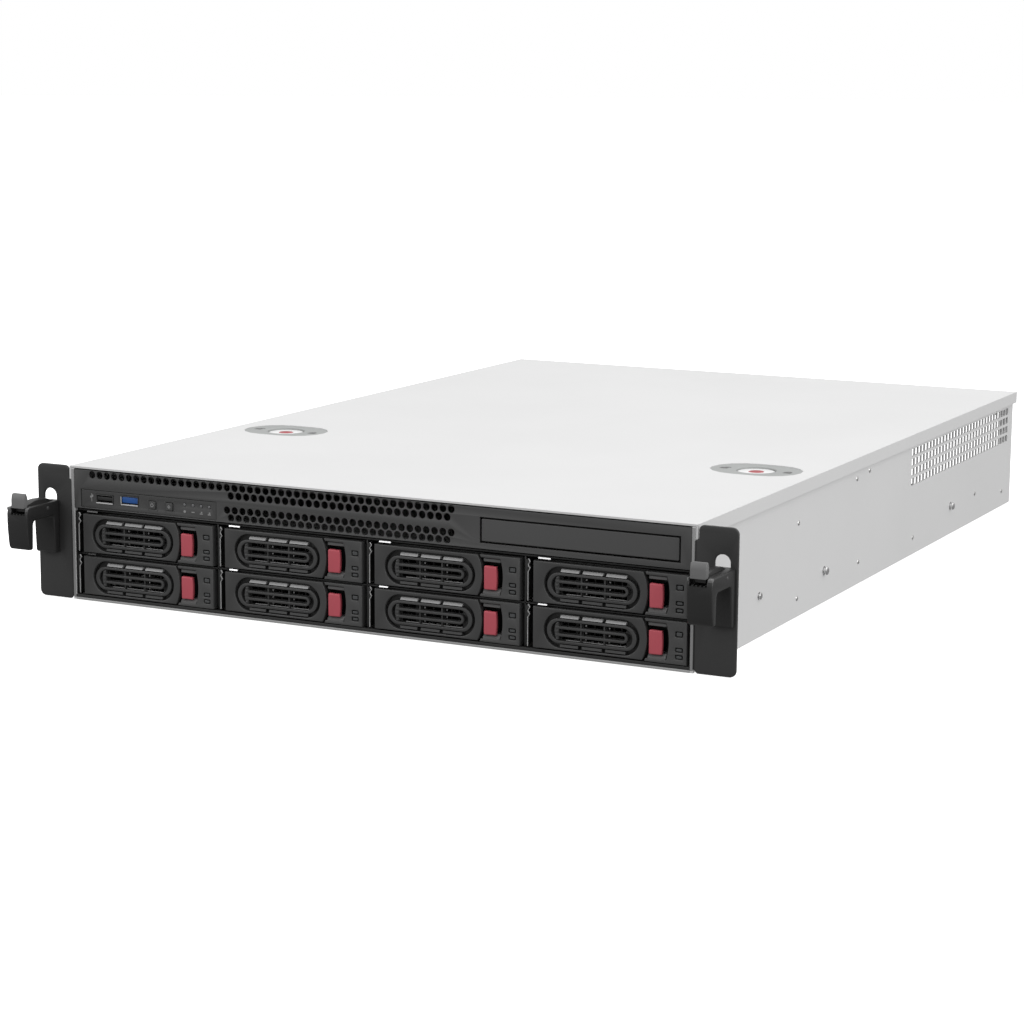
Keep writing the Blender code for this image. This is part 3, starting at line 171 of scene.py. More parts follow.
BOARD = surface("board_green", (0.012, 0.10, 0.04), 0.08, 0.38, 0.06, 0.0, 1600, 0.10, coat=0.3)
# Lever plastic lightened: a painted highlight for the upper bars, which catch the light from above, and
# painted glints in the grille.
BAR_PAINTED_HIGHLIGHT = surface("bar_plastic_painted_highlight", grey(0.40), 0.05, 0.40, 0.06, 0.0, 2600, 0.12)
LEDGE_PLASTIC = surface("ledge_plastic", grey(0.13), 0.05, 0.42, 0.06, 0.0, 2600, 0.12)
STRIP_PAINT = surface("strip_paint", grey(0.064), 0.05, 0.44, 0.06, 0.0, 1800, 0.16)
BLANK_PLASTIC = surface("blank_plastic", grey(0.074), 0.04, 0.48, 0.06, 0.0, 2600, 0.2)
MARK_DIM = surface("mark_dim", grey(0.10), 0.02, 0.5, 0.04, 0.0, 2200, 0.05)
LIGHT_PIN = surface("light_pin", (0.16, 0.16, 0.165), 0.03, 0.22, 0.03, 0.0, 1600, 0.03)
LIGHT_WINDOW = surface("light_window", (0.075, 0.078, 0.080), 0.03, 0.18, 0.03, 0.0, 1600, 0.03)


# ---- shapes --------------------------------------------------------------------------------------
def arc(a, b, radius, start, end, steps):
    turns = [radians(start + (end - start) * i / steps) for i in range(steps + 1)]
    return [(a + radius * cos(t), b + radius * sin(t)) for t in turns]


def circle(a, b, radius, sides):
    return arc(a, b, radius, 0, 360 - 360 / sides, sides - 1)


def rectangle(a0, a1, b0, b1):
    return [(a0, b0), (a1, b0), (a1, b1), (a0, b1)]


def rounded(a0, a1, b0, b1, radius, steps=6):
    points = []
    for a, b, start in ((a1, b0, -90), (a1, b1, 0), (a0, b1, 90), (a0, b0, 180)):
        inward_a = a - radius if a == a1 else a + radius
        inward_b = b - radius if b == b1 else b + radius
        points += arc(inward_a, inward_b, radius, start, start + 90, steps)
    return points


def chord_arc(a, b0, b1, bulge, steps):
    """Points from (a, b0) to (a, b1) on an arc that stands out by a bulge between them."""
    half = (b1 - b0) / 2
    radius = (half * half + bulge * bulge) / (2 * bulge)
    sweep = atan2(half, radius - bulge) * 180 / pi
    return arc(a + bulge - radius, (b0 + b1) / 2, radius, -sweep, sweep, steps)


END_FLAT = 0.00001        # half the flat left on a fully rounded end, so its corners stay apart
TURN = {
    "X": Matrix(((0, 0, 1, 0), (1, 0, 0, 0), (0, 1, 0, 0), (0, 0, 0, 1))),
    "Y": Matrix(((1, 0, 0, 0), (0, 0, -1, 0), (0, 1, 0, 0), (0, 0, 0, 1))),
    "Z": Matrix.Identity(4),
}


def plate(axis, low, high, outline, holes=(), edge=0.0002, steps=2):
    """A mesh of a flat plate with rounded edges: an outline and its holes, from low to high along
    an axis. Outline points are (y, z), (x, z) or (x, y) for axis X, Y or Z."""
    curve = bpy.data.curves.new("plate", "CURVE")
    curve.dimensions = "2D"
    curve.fill_mode = "BOTH"
    for loop in (outline, *holes):
        spline = curve.splines.new("POLY")
        spline.points.add(len(loop) - 1)
        for point, (a, b) in zip(spline.points, loop):
            point.co = (a, b, 0, 1)
        spline.use_cyclic_u = True
    half = (high - low) / 2
    curve.extrude = half - edge
    curve.bevel_depth = edge
    curve.bevel_resolution = steps - 1
    curve.offset = -edge
    holder = bpy.data.objects.new("plate", curve)
    bpy.context.scene.collection.objects.link(holder)
    evaluated = holder.evaluated_get(bpy.context.evaluated_depsgraph_get())
    mesh = bpy.data.meshes.new_from_object(evaluated)
    bpy.data.objects.remove(holder)
    bpy.data.curves.remove(curve)
    middle = {"X": (low + half, 0, 0), "Y": (0, low + half, 0), "Z": (0, 0, low + half)}[axis]
    mesh.transform(Matrix.Translation(middle) @ TURN[axis])
    return healed(mesh)


def healed(mesh):
    """Joins the seams of a mesh and turns its faces outwards."""
    shape = bmesh.new()
    shape.from_mesh(mesh)
    bmesh.ops.remove_doubles(shape, verts=shape.verts[:], dist=1e-6)
    bmesh.ops.dissolve_degenerate(shape, dist=1e-7, edges=shape.edges[:])
    bmesh.ops.recalc_face_normals(shape, faces=shape.faces[:])
    shape.to_mesh(mesh)
    shape.free()
    return mesh


def block(x0, x1, y0, y1, z0, z1, edge=0.0002):
    """A box with rounded edges."""
    shape = bmesh.new()
    bmesh.ops.create_cube(shape, size=1)
    bmesh.ops.scale(shape, vec=(x1 - x0, y1 - y0, z1 - z0), verts=shape.verts[:])
    middle = (x0 + x1) / 2, (y0 + y1) / 2, (z0 + z1) / 2
    bmesh.ops.translate(shape, vec=middle, verts=shape.verts[:])
    if edge:
        bmesh.ops.bevel(shape, geom=shape.edges[:], offset=edge, segments=2, profile=0.5,
                        affect="EDGES", clamp_overlap=True)
    mesh = bpy.data.meshes.new("block")
    shape.to_mesh(mesh)
    shape.free()
    return mesh


def turned(axis, centre, profile, sides=32):
    """A solid of revolution about an axis; profile points are (radius, distance along it)."""
    shape = bmesh.new()
    ring = [shape.verts.new((radius, 0, along)) for radius, along in profile]
    for one, other in zip(ring, ring[1:]):
        shape.edges.new((one, other))
    bmesh.ops.spin(shape, geom=shape.verts[:] + shape.edges[:], axis=(0, 0, 1), cent=(0, 0, 0),
                   angle=2 * pi, steps=sides, use_merge=True)
    bmesh.ops.remove_doubles(shape, verts=shape.verts[:], dist=1e-7)
    bmesh.ops.recalc_face_normals(shape, faces=shape.faces[:])
    mesh = bpy.data.meshes.new("turned")
    shape.to_mesh(mesh)
    shape.free()
    mesh.transform(Matrix.Translation(centre) @ TURN[axis])
    return mesh


def combined(meshes):
    """Several meshes in one, each still its own closed shell."""
    shape = bmesh.new()
    for mesh in meshes:
        shape.from_mesh(mesh)
        bpy.data.meshes.remove(mesh)
    result = bpy.data.meshes.new("combined")
    shape.to_mesh(result)
    shape.free()
    return result


def carved(base, *steps):
    """A mesh after exact Booleans, each step being (operation, mesh)."""
    scene = bpy.context.scene.collection.objects
    body = bpy.data.objects.new("carved", base)
    scene.link(body)
    tools = []
    for operation, mesh in steps:
        tool = bpy.data.objects.new("tool", mesh)
        scene.link(tool)
        tools.append(tool)
        change = body.modifiers.new("cut", "BOOLEAN")
        change.operation = operation
        change.object = tool
    evaluated = body.evaluated_get(bpy.context.evaluated_depsgraph_get())
    mesh = bpy.data.meshes.new_from_object(evaluated)
    for extra in [body, *tools]:
        data = extra.data
        bpy.data.objects.remove(extra)
        bpy.data.meshes.remove(data)
    return mesh


def mirrored(mesh):
    mesh.transform(Matrix.Scale(-1, 4, (1, 0, 0)))
    mesh.flip_normals()
    return mesh


SMOOTH_ANGLE = radians(35)


def piece(name, mesh, material, body, replaces=(), place=None):
    """A named piece of the visual model that rides on a CAD body."""
    made = bpy.data.objects.new(name, mesh)
    bpy.context.scene.collection.objects.link(made)
    if place is not None:
        made.matrix_world = Matrix.Translation(place)
    if not mesh.materials:
        mesh.materials.append(material)
    mesh.shade_smooth()
    mesh.set_sharp_from_angle(angle=SMOOTH_ANGLE)
    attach(made, body)
    if replaces:
        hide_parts(*replaces)


def refinish(node, material):
    """A CAD node keeps its shape and takes a new material."""
    held = NODES[node]
    held.data.materials.clear()
    held.data.materials.append(material)


# ---- drive trays: (across, depth, up) from the bezel's lower left front corner -------------------
LEVER_END_GAP = 0.0003
BEZEL_W, BEZEL_H = 0.0980, 0.0253
LEVER_W, LEVER_BULGE, LEVER_THICK = 0.0702, 0.0030, 0.0044
LEVER_SKIN = LEVER_THICK - 0.0006        # the back of the lever's outer plate
HINGE, HINGE_RADIUS = (0.0025, 0.0022), 0.0019
POCKET = 0.0066
RECESS_TOP, RECESS_LOW, RECESS_DEPTH = 0.0236, 0.0017, 0.0125
LEDGE_SPAN = (0.0735, 0.0848)
BODY_BACK = 0.0200
SLOT_ROWS, SLOT_HALF = (0.0073, 0.0117, 0.0160), 0.0012
SLOT_SPANS = ((0.0178, 0.0297), (0.0319, 0.0446), (0.0468, 0.0590))
BAR_SPANS = ((0.0178, 0.0294), (0.0319, 0.0446), (0.0469, 0.0597))
LOOP_END = 0.0580
LIGHT_SPOTS = ((0.0178, 0.0034), (0.0086, 0.0027), (0.0044, 0.0027))     # (middle height, length)
RAIL_SIDES, RAIL_SHEET = (0.0472 - 0.0522, 0.0472 + 0.0522), 0.0012
RAIL_SCREW_Z, RAIL_SCREW_Y = 0.0064, (0.048, 0.150)


def tray_corner(number):
    low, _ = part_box("tray_lever_%d" % number)
    return Vector((low.x - LEVER_END_GAP, FRONT, low.z - LEVER_END_GAP))


def lever_plate():
    """The lever's outer plate with a long rounded opening, its barrel edge rounded at the hinge."""
    low, high = 0.0003, BEZEL_H - 0.0003
    outline = [(LEVER_END_GAP, low)] + chord_arc(LEVER_W, low, high, LEVER_BULGE, 12)
    outline += [(LEVER_END_GAP, high)]
    opening = rounded(0.0074, 0.0686, 0.0016, 0.0229, 0.01065, 10)
    face = plate("Y", 0.0, LEVER_SKIN, outline, [opening], edge=0.0005, steps=3)
    floor = plate("Y", LEVER_THICK - 0.0009, LEVER_THICK, outline, lever_windows(), edge=0.0001)
    return face, floor


def lever_windows():
    """The three rows of air slots in the lever's floor."""
    return [rounded(left, right, v - SLOT_HALF, v + SLOT_HALF, 0.0006, 2)
            for v in SLOT_ROWS for left, right in SLOT_SPANS]


def lever_grille():
    """The raised ring, its inner loop, a small island with bumps near the ring's left end, and two
    upright ribs behind them.
    """
    ring = plate("Y", 0.0002, LEVER_SKIN, rounded(0.0093, 0.0667, 0.0044, 0.0192, 0.0074, 10),
                 [rounded(0.0120, 0.0641, 0.0060, 0.0176, 0.0058, 10)], edge=0.00035, steps=3)
    start, middle = 0.0148, SLOT_ROWS[1]
    limb = [(start, 0.0147), (start, 0.0131), (LOOP_END, 0.0131)]
    limb += list(reversed(arc(LOOP_END, middle, 0.0014, -90, 90, 8)))[1:-1]
    limb += [(LOOP_END, 0.0103), (start, 0.0103), (start, 0.0087), (LOOP_END, 0.0087)]
    limb += arc(LOOP_END, middle, 0.0030, -90, 90, 10)[1:-1] + [(LOOP_END, 0.0147)]
    loop = plate("Y", 0.0002, LEVER_SKIN, limb, edge=0.0003)
    island = plate("Y", 0.0004, LEVER_SKIN,
                   [(0.0170, 0.0066), (0.0170, 0.0172), (0.0156, 0.0168), (0.0146, 0.0150),
                    (0.0141, 0.0118), (0.0146, 0.0086), (0.0156, 0.0070)], edge=0.0003)
    bumps = [block(0.0152, 0.0167, 0.0000, 0.0010, v - 0.0006, v + 0.0006, 0.0003)
             for v in (0.0161, 0.0139, 0.0117, 0.0095, 0.0073)]
    ribs = [block(b - 0.0005, b + 0.0005, 0.0016, LEVER_SKIN, 0.0058, 0.0178)
            for b in (0.0307, 0.0457)]
    return combined([ring, loop, island, *bumps, *ribs])


def slanted_bar(left, right, low, high, near, far, lean):
    """A bar whose front face leans back towards its top."""
    bar = block(left, right, near, far, low, high, 0.0)
    for vertex in bar.vertices:
        if vertex.co.z > (low + high) / 2 and vertex.co.y < (near + far) / 2:
            vertex.co.y += lean
    return bar


def lever_segments(v, height, lean):
    """A row of three short bars, centred on a height."""
    return combined([slanted_bar(left, right, v - height / 2, v + height / 2, 0.0004, 0.0036, lean)
                     for left, right in BAR_SPANS])


def bezel_face():
    """The bezel's front right of the lever: a plate with the button's recess open on its left."""
    recess = chord_arc(0.0853, RECESS_LOW, RECESS_TOP, 0.0016, 10)
    outline = [(0.0716, 0.0), (BEZEL_W, 0.0), (BEZEL_W, BEZEL_H), (0.0716, BEZEL_H),
               (0.0724, RECESS_TOP), *reversed(recess), (0.0724, RECESS_LOW)]
    windows = [rounded(0.0909, 0.0957, v - h / 2, v + h / 2, 0.0006, 3) for v, h in LIGHT_SPOTS]
    return plate("Y", 0.0, RECESS_DEPTH, outline, windows, edge=0.0004, steps=3)


def bezel_body():
    """What is behind the lever and the recess: pocket floor with windows, walls and hinge ears."""
    windows = [rectangle(left, left + 0.0152, 0.0045, 0.0208) for left in (0.0100, 0.0272, 0.0444)]
    floor = plate("Y", POCKET, POCKET + 0.0020, rectangle(0, 0.0722, 0, BEZEL_H), windows)
    shell = plate("Y", POCKET + 0.0018, BODY_BACK, rectangle(0, BEZEL_W, 0, BEZEL_H),
                  [rectangle(0.0015, 0.0705, 0.0014, BEZEL_H - 0.0014),
                   rectangle(0.0720, BEZEL_W - 0.0015, 0.0014, BEZEL_H - 0.0014)])
    recess_floor = block(0.0718, 0.0880, 0.0124, 0.0140, 0.0004, BEZEL_H - 0.0004)
    ears = []
    for low in (0.0, BEZEL_H - 0.0003):
        outline = arc(*HINGE, HINGE_RADIUS, 180, 360, 10)
        outline += [(HINGE[0] + way * HINGE_RADIUS, POCKET + 0.001) for way in (1, -1)]
        ears.append(plate("Z", low, low + 0.0003, outline, edge=0.00005, steps=1))
    grid = [block(b - 0.0004, b + 0.0004, POCKET + 0.0004, POCKET + 0.0030, 0.0040, 0.0213, 0.0001)
            for b in (0.0150, 0.0200, 0.0322, 0.0372, 0.0494, 0.0544)]
    return combined([floor, shell, recess_floor, *ears, *grid])


def recess_ledges():
    """The sloped ledges above and below the button."""
    upper = [(0.0035, 0.0205), (0.0016, 0.0212), (0.0016, 0.0228), (0.0030, 0.0238),
             (0.0110, 0.0238), (0.0110, 0.0205)]
    lower = [(0.0008, 0.0015), (0.0008, 0.0029), (0.0030, 0.0048), (0.0110, 0.0048), (0.0110, 0.0015)]
    return combined([plate("X", *LEDGE_SPAN, outline) for outline in (upper, lower)])


def light_windows():
    return combined([plate("Y", 0.0003, 0.0040, rounded(0.0916, 0.0950, v - h / 2 + 0.0006,
                                                        v + h / 2 - 0.0006, 0.0004, 3))
                     for v, h in LIGHT_SPOTS])


def button_face():
    outline = [(0.0744, 0.0050), (0.0750, 0.0044)]
    outline += chord_arc(0.0824, 0.0046, 0.0186, 0.0005, 8)
    outline += [(0.0750, 0.0188), (0.0744, 0.0182)]
    return plate("Y", 0.0, 0.0030, outline, edge=0.0007, steps=3)


def button_stem():
    return block(0.0748, 0.0812, 0.0024, 0.0100, 0.0056, 0.0176, 0.0003)


def tray_rails():
    """The sheet metal channel that carries the drive, with its screw holes and feet."""
    left, right = RAIL_SIDES
    sheet = RAIL_SHEET
    holes = [circle(y, RAIL_SCREW_Z, 0.0019, 16) for y in (0.048, 0.0895, 0.150)]
    slots = [rounded(y, y + 0.020, 0.0125, 0.0160, 0.00174, 5) for y in (0.034, 0.066, 0.104, 0.134)]
    outline = rounded(0.0194, 0.1680, 0.0, 0.0200, 0.0012, 3)
    sides = [plate("X", x, x + sheet, outline, holes + slots)
             for x in (left, right - sheet)]
    cross = plate("Y", 0.0192, 0.0204, rectangle(left + sheet / 2, right - sheet / 2, 0.0002, 0.0198),
                  [rounded(0.0040, 0.0662, 0.0030, 0.0170, 0.002, 4)])
    feet = [block(left + 0.0008, left + 0.0040, 0.030, 0.160, 0.0, 0.0010),
            block(right - 0.0040, right - 0.0008, 0.030, 0.160, 0.0, 0.0010)]
    return combined([*sides, cross, *feet])


def rail_screws():
    profile = [(0, 0.0), (0.0007, 0.00005), (0.0010, 0.0003), (0.0027, 0.00025),
               (0.0029, 0.0), (0.0016, -0.0012), (0.0016, -0.0040), (0, -0.0040)]
    heads = []
    for x, face in zip(RAIL_SIDES, (-1, 1)):
        for y in RAIL_SCREW_Y:
            head = turned("Z", (0, 0, 0), profile, 20)
            head.transform(Matrix.Rotation(face * pi / 2, 4, "Y"))
            head.transform(Matrix.Translation((x - face * 0.0003, y, RAIL_SCREW_Z)))
            heads.append(head)
    return combined(heads)


def trays():
    face, floor = lever_plate()
    grille = lever_grille()
    lit_bars = lever_segments(0.0205, 0.0015, 0.0014)
    low_bars = lever_segments(0.0031, 0.0015, 0.0003)
    bezel, body, ledges = bezel_face(), bezel_body(), recess_ledges()
    windows, button, rails, screws = light_windows(), button_face(), tray_rails(), rail_screws()
    (spring, carrier), stem = contact_spring(), button_stem()
    # Light grey bars painted as glints in the grille's lowest slot and on its ribs.
    painted_glints = combined([slanted_bar(0.0205, 0.0590, 0.0059, 0.0064, 0.0030, 0.0036, 0.0)]
                     + [block(b - 0.0004, b + 0.0004, 0.0030, 0.0036, v - 0.0005, v + 0.0005, 0.0001)
                        for b in (0.0334, 0.0484) for v in (0.0160, 0.0117, 0.0078)])
    for number in TRAYS:
        corner = tray_corner(number)
        tray, lever = "tray_%d" % number, "lever_%d" % number
        lever_node, tray_node = "tray_lever_%d" % number, "drive_tray_%d" % number

        def put(name, mesh, material, body_name, replaces=()):
            piece("%s_%d" % (name, number), mesh, material, body_name, replaces, corner)

        put("lever_face", face, LEVER_PLASTIC, lever, (lever_node,))
        put("lever_floor", floor, BLACK_PLASTIC, lever)
        put("lever_grille", grille, LEVER_PLASTIC, lever)
        # The upper bars take the lightened plastic as a painted highlight; the lower bars keep the
        # plain lever plastic.
        put("lever_upper_bars", lit_bars, BAR_PAINTED_HIGHLIGHT, lever)
        put("lever_lower_bars", low_bars, LEVER_PLASTIC, lever)
        # The glint bars are painted highlights in lightened plastic.
        put("lever_glint", painted_glints, BAR_PAINTED_HIGHLIGHT, lever)
        put("bezel_face", bezel, BEZEL_PLASTIC, tray, (tray_node,))
        put("bezel_body", body, BLACK_PLASTIC, tray)
        put("bezel_ledges", ledges, LEDGE_PLASTIC, tray)
        put("bezel_windows", windows, LIGHT_WINDOW, tray)
        put("tray_rails", rails, STEEL, tray)
        put("rail_screws", screws, NICKEL, tray)
        put("contact_spring", spring, CONTACT, tray)
        put("contact_carrier", carrier, BLACK_PLASTIC, tray)
        put("release_button", button, RED_PLASTIC, "release_%d" % number,
            ("tray_button_%d" % number,))
        put("release_stem", stem, BLACK_PLASTIC, "release_%d" % number)


# ---- cage edges ----------------------------------------------------------------------------------
# Bottom and top of the black strip painted as the shade in the gap under the trays; the side liners
# start at its top.
GAP_SHADE_LOW, GAP_SHADE_TOP = 0.0015, 0.0034
CAGE_SHEETS = ("cage_top_plate", "cage_shelf", "cage_divider_1", "cage_divider_2", "cage_divider_3")


def contact_spring():
    """The contact strip beside a bezel's left edge, with two bulges, and the carrier behind it."""
    steps, left, sheet = 60, -0.0032, 0.0003
    bulge, reach = 0.0013, 0.0020
    low, high = 0.0006, BEZEL_H + 0.0003
    edge = []
    for i in range(steps + 1):
        z = low + (high - low) * i / steps
        out = sum(bulge * max(0.0, 1 - abs(z - middle) / reach) for middle in (0.0200, 0.0240))
        edge.append((out + left, z))
    outline = edge + [(x - sheet, z) for x, z in reversed(edge)]
    strip = plate("Y", 0.0004, 0.0014, outline, edge=0.0001, steps=1)
    low, high = 0.0008, BEZEL_H - 0.0002
    carrier = combined([block(-0.0048, -0.0042, 0.0010, 0.0200, low, high, 0.0001),
                        block(-0.0044, -0.0031, 0.0012, 0.0018, low, high, 0.0001)])
    return strip, carrier


def cage_edges():
    """Black trims painted as shade on the cage's front edges, black liners beside it painted as its
    shaded sides, and the bright clips on it, the first in each row painted dark as shaded.
    """
    for node in CAGE_SHEETS:
        low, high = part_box(node)
        # Each trim paints the shade on a cage sheet's steel front edge in black.
        shade_trim = block(low.x - 0.0001, high.x + 0.0001, low.y - 0.0005, low.y + 0.0012,
                     low.z - 0.0001, high.z + 0.0001, 0.0001)
        piece(node + "_edge", shade_trim, BLACK_PLASTIC, "chassis")
    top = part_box("cage_top_plate")[0].z
    liner = 0.0006
    # The liners are black as painted shade on the cage's sides.
    liners = [block(x, x + liner, FRONT + 0.0008, FRONT + 0.0100, GAP_SHADE_TOP, top - 0.0004, 0.0001)
              for x in (-PAN_HALF, PAN_HALF - liner)]
    piece("cage_side_liners_painted_shade", combined(liners), BLACK_PLASTIC, "chassis")
    rows = (("upper", top - 0.0003, 0.0080), ("lower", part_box("cage_shelf")[1].z - 0.0001, 0.0060))
    for row, z, length in rows:
        for number in range(1, 5):
            left = tray_corner(number).x + 0.0032
            clip = plate("X", left, left + length, [
                (FRONT + 0.0004, z), (FRONT + 0.0009, z + 0.0008), (FRONT + 0.0040, z + 0.0009),
                (FRONT + 0.0040, z + 0.0005), (FRONT + 0.0012, z + 0.0003)], edge=0.00008, steps=1)
            # The first clip of each row is dark steel as painted shade; the rest are bright steel.
            piece("spring_clip_%s_%d" % (row, number), clip, DARK_STEEL if number == 1 else GLEAM,
                  "chassis")


# ---- front panel ---------------------------------------------------------------------------------
VENT_PITCH, VENT_RADIUS, VENT_RIGHT = 0.0056, 0.00235, 0.0587
# Vent rows: (drop from the panel's top, holes, offset in pitches)
VENT_ROWS = ((0.0031, 47, 0.0), (0.0081, 28, 0.5), (0.0172, 29, 0.0), (0.0219, 28, 0.5))
STRIP = (-0.2080, -0.1058, 0.0604, 0.0722)
STRIP_SETBACK = 0.0005
SHEET = 0.0012
PLATE_REACH = 0.0014        # how far the front plate passes the CAD panel at each side
OPTICAL_GAP = 0.0011
KEY_HALF, KEY_HOLE_HALF = 0.00235, 0.0027
MARK_THICK = 0.0002


def vent_centres():
    for drop, count, offset in VENT_ROWS:
        for i in range(count):
            yield VENT_RIGHT - (i + offset) * VENT_PITCH, PANEL_HIGH.z - drop


def middle_of(node):
    """The middle of a node's box, as (x, z)."""
    low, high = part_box(node)
    return (low.x + high.x) / 2, (low.z + high.z) / 2


def grown(box_pair, margin):
    low, high = box_pair
    return rectangle(low.x - margin, high.x + margin, low.z - margin, high.z + margin)


def front_plate():
    optical = grown(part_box("optical_bay_cover"), OPTICAL_GAP)
    x0, x1, z0, z1 = STRIP
    holes = [circle(x, z, VENT_RADIUS, 14) for x, z in vent_centres()]
    holes += [optical, rounded(x0, x1, z0, z1, 0.0005, 3)]
    left, right = PANEL_LOW.x - PLATE_REACH, PANEL_HIGH.x + PLATE_REACH
    low, high = PANEL_LOW.z, PANEL_HIGH.z - 0.0004
    face = plate("Y", FRONT, FRONT + SHEET, rectangle(left, right, low, high), holes, edge=0.00025)
    ends = [block(x, x + SHEET, FRONT + 0.0008, FRONT + 0.012, low, high)
            for x in (left, right - SHEET)]
    folds = [block(left, right, FRONT + 0.0008, FRONT + 0.0080, z, z + SHEET)
             for z in (low, high - SHEET)]
    piece("front_plate", combined([face, *ends, *folds]), BLACK_PAINT, "chassis",
          ("front_panel",))
    inner = plate("Y", FRONT + STRIP_SETBACK, FRONT + 0.0015,
                  rounded(x0 + 0.0003, x1 - 0.0003, z0 + 0.0003, z1 - 0.0003, 0.0003, 2),
                  strip_holes())
    piece("port_strip", inner, STRIP_PAINT, "chassis")


def strip_holes():
    holes = [grown(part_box(node), 0.0002) for node in ("usb2_port", "usb3_port")]
    half = KEY_HOLE_HALF
    for node in ("power_button", "reset_button"):
        x, z = middle_of(node)
        holes.append(rounded(x - half, x + half, z - half, z + half, 0.0006, 3))
    holes += [circle(x, z, 0.00115, 14) for x, z in light_places()]
    return holes


def light_places():
    low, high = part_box("status_light_pipe")
    first, last = low.x + 0.0015, high.x - 0.0015
    z = (low.z + high.z) / 2
    return [(first, z), (first + 0.0062, z), (first + 0.0123, z), (last, z)]


def usb_sockets():
    for node, tongue_look in (("usb2_port", BLACK_PLASTIC), ("usb3_port", USB_BLUE)):
        low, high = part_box(node)
        outer = rounded(low.x, high.x, low.z, high.z, 0.0005, 3)
        inner = rounded(low.x + 0.0004, high.x - 0.0004, low.z + 0.0004, high.z - 0.0004, 0.0003, 3)
        shell = plate("Y", FRONT + 0.0001, FRONT + 0.0135, outer, [inner], edge=0.0001)
        piece(node + "_shell", shell, DARK_STEEL, "chassis", (node,))
        lips = [block(low.x + 0.0002, high.x - 0.0002, FRONT - 0.0001, FRONT + 0.0030,
                      low.z - 0.00005, low.z + 0.0006, 0.0001)]
        if node == "usb3_port":
            lips.append(block(low.x - 0.00005, low.x + 0.0004, FRONT - 0.0001, FRONT + 0.0030,
                              low.z + 0.0003, high.z - 0.0006, 0.0001))
        piece(node + "_lip", combined(lips), CONTACT, "chassis")
        middle = low.z + (high.z - low.z) * 0.56
        half = (high.z - low.z) * (0.20 if node == "usb2_port" else 0.30)
        tongue = block(low.x + 0.0007, high.x - 0.0007, FRONT + 0.0006, FRONT + 0.0130,
                       middle - half, middle + half)
        back = block(low.x + 0.0003, high.x - 0.0003, FRONT + 0.0120, FRONT + 0.0137,
                     low.z + 0.0003, high.z - 0.0003, 0.0001)
        piece(node + "_tongue", combined([tongue, back]), tongue_look, "chassis")


def ring(x, z, outer, inner, y, sides):
    return plate("Y", y, y + MARK_THICK, circle(x, z, outer, sides), [circle(x, z, inner, sides)],
                 edge=0.00004, steps=1)


def key_caps():
    for node, body in (("power_button", "power_key"), ("reset_button", "reset_key")):
        x, z = middle_of(node)
        outline = rounded(x - KEY_HALF, x + KEY_HALF, z - KEY_HALF, z + KEY_HALF, 0.0005, 3)
        cap = plate("Y", FRONT - 0.0003, FRONT + 0.0045, outline, edge=0.0003)
        back = block(x - 0.0032, x + 0.0032, FRONT + 0.0018, FRONT + 0.0030, z - 0.0032, z + 0.0032)
        piece(node + "_cap", combined([cap, back]), BEZEL_PLASTIC, body, (node,))
        y = FRONT - 0.0004
        if node == "power_button":
            sides, half, low, high = 24, 0.0002, 0.0004, 0.0016
        else:
            sides, half, low, high = 4, 0.0003, -0.0003, 0.0003
        mark = combined([ring(x, z, 0.0012, 0.0008, y, sides),
                         block(x - half, x + half, y, y + MARK_THICK, z + low, z + high, 0)])
        piece(node + "_mark", mark, MARK_LIGHT, body)
        piece(node + "_frame", key_frame(x, z), MARK_DIM, "chassis")


def key_frame(x, z):
    """The four corner signs round a key, each of two short strokes."""
    near, far = FRONT + 0.0003, FRONT + 0.0008
    out, stroke, half = 0.0035, 0.0012, 0.00015
    strokes = []
    for way_x in (-1, 1):
        for way_z in (-1, 1):
            corner_x, corner_z = x + way_x * out, z + way_z * out
            x0, x1 = sorted((corner_x, corner_x - way_x * stroke))
            z0, z1 = sorted((corner_z, corner_z - way_z * stroke))
            strokes.append(block(x0, x1, near, far, corner_z - half, corner_z + half, 0))
            strokes.append(block(corner_x - half, corner_x + half, near, far, z0, z1, 0))
    return combined(strokes)


def status_lights():
    y = FRONT + 0.0001
    pins = [turned("Y", (x, y, z), [(0, 0), (0.0006, -0.00003), (0.0009, -0.0002),
                                    (0.0009, -0.0045), (0, -0.0045)], 18)
            for x, z in light_places()]
    low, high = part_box("status_light_pipe")
    pins.append(block(low.x, high.x, FRONT + 0.0035, high.y, low.z, high.z))
    piece("status_lights", combined(pins), LIGHT_PIN, "chassis", ("status_light_pipe",))


def strip_marks():
    """Generic signs under the status lights and beside the first socket."""
    near = FRONT + STRIP_SETBACK - 0.0001
    marks = []

    def bar(x, z, left, right, low, high):
        marks.append(block(x + left, x + right, near, near + MARK_THICK, z + low, z + high, 0))

    for index, (x, z) in enumerate(light_places()):
        z -= 0.0043
        if index == 0:
            marks.append(plate("Y", near, near + MARK_THICK, circle(x, z, 0.0009, 12),
                               edge=0.00003, steps=1))
        elif index == 1:
            bar(x, z, -0.0011, 0.0011, -0.0003, 0.0003)
        else:
            bar(x, z, -0.0011, 0.0011, -0.0009, -0.0003)
            bar(x, z, -0.0003, 0.0007, -0.0001, 0.0009)
    low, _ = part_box("usb2_port")
    x, z = low.x - 0.0034, low.z + 0.0034
    bar(x, z, -0.0002, 0.0002, -0.0026, 0.0026)
    bar(x, z, -0.0011, -0.0002, -0.0002, 0.0010)
    bar(x, z, 0.0002, 0.0011, 0.0004, 0.0018)
    piece("strip_marks", combined(marks), MARK_LIGHT, "chassis")


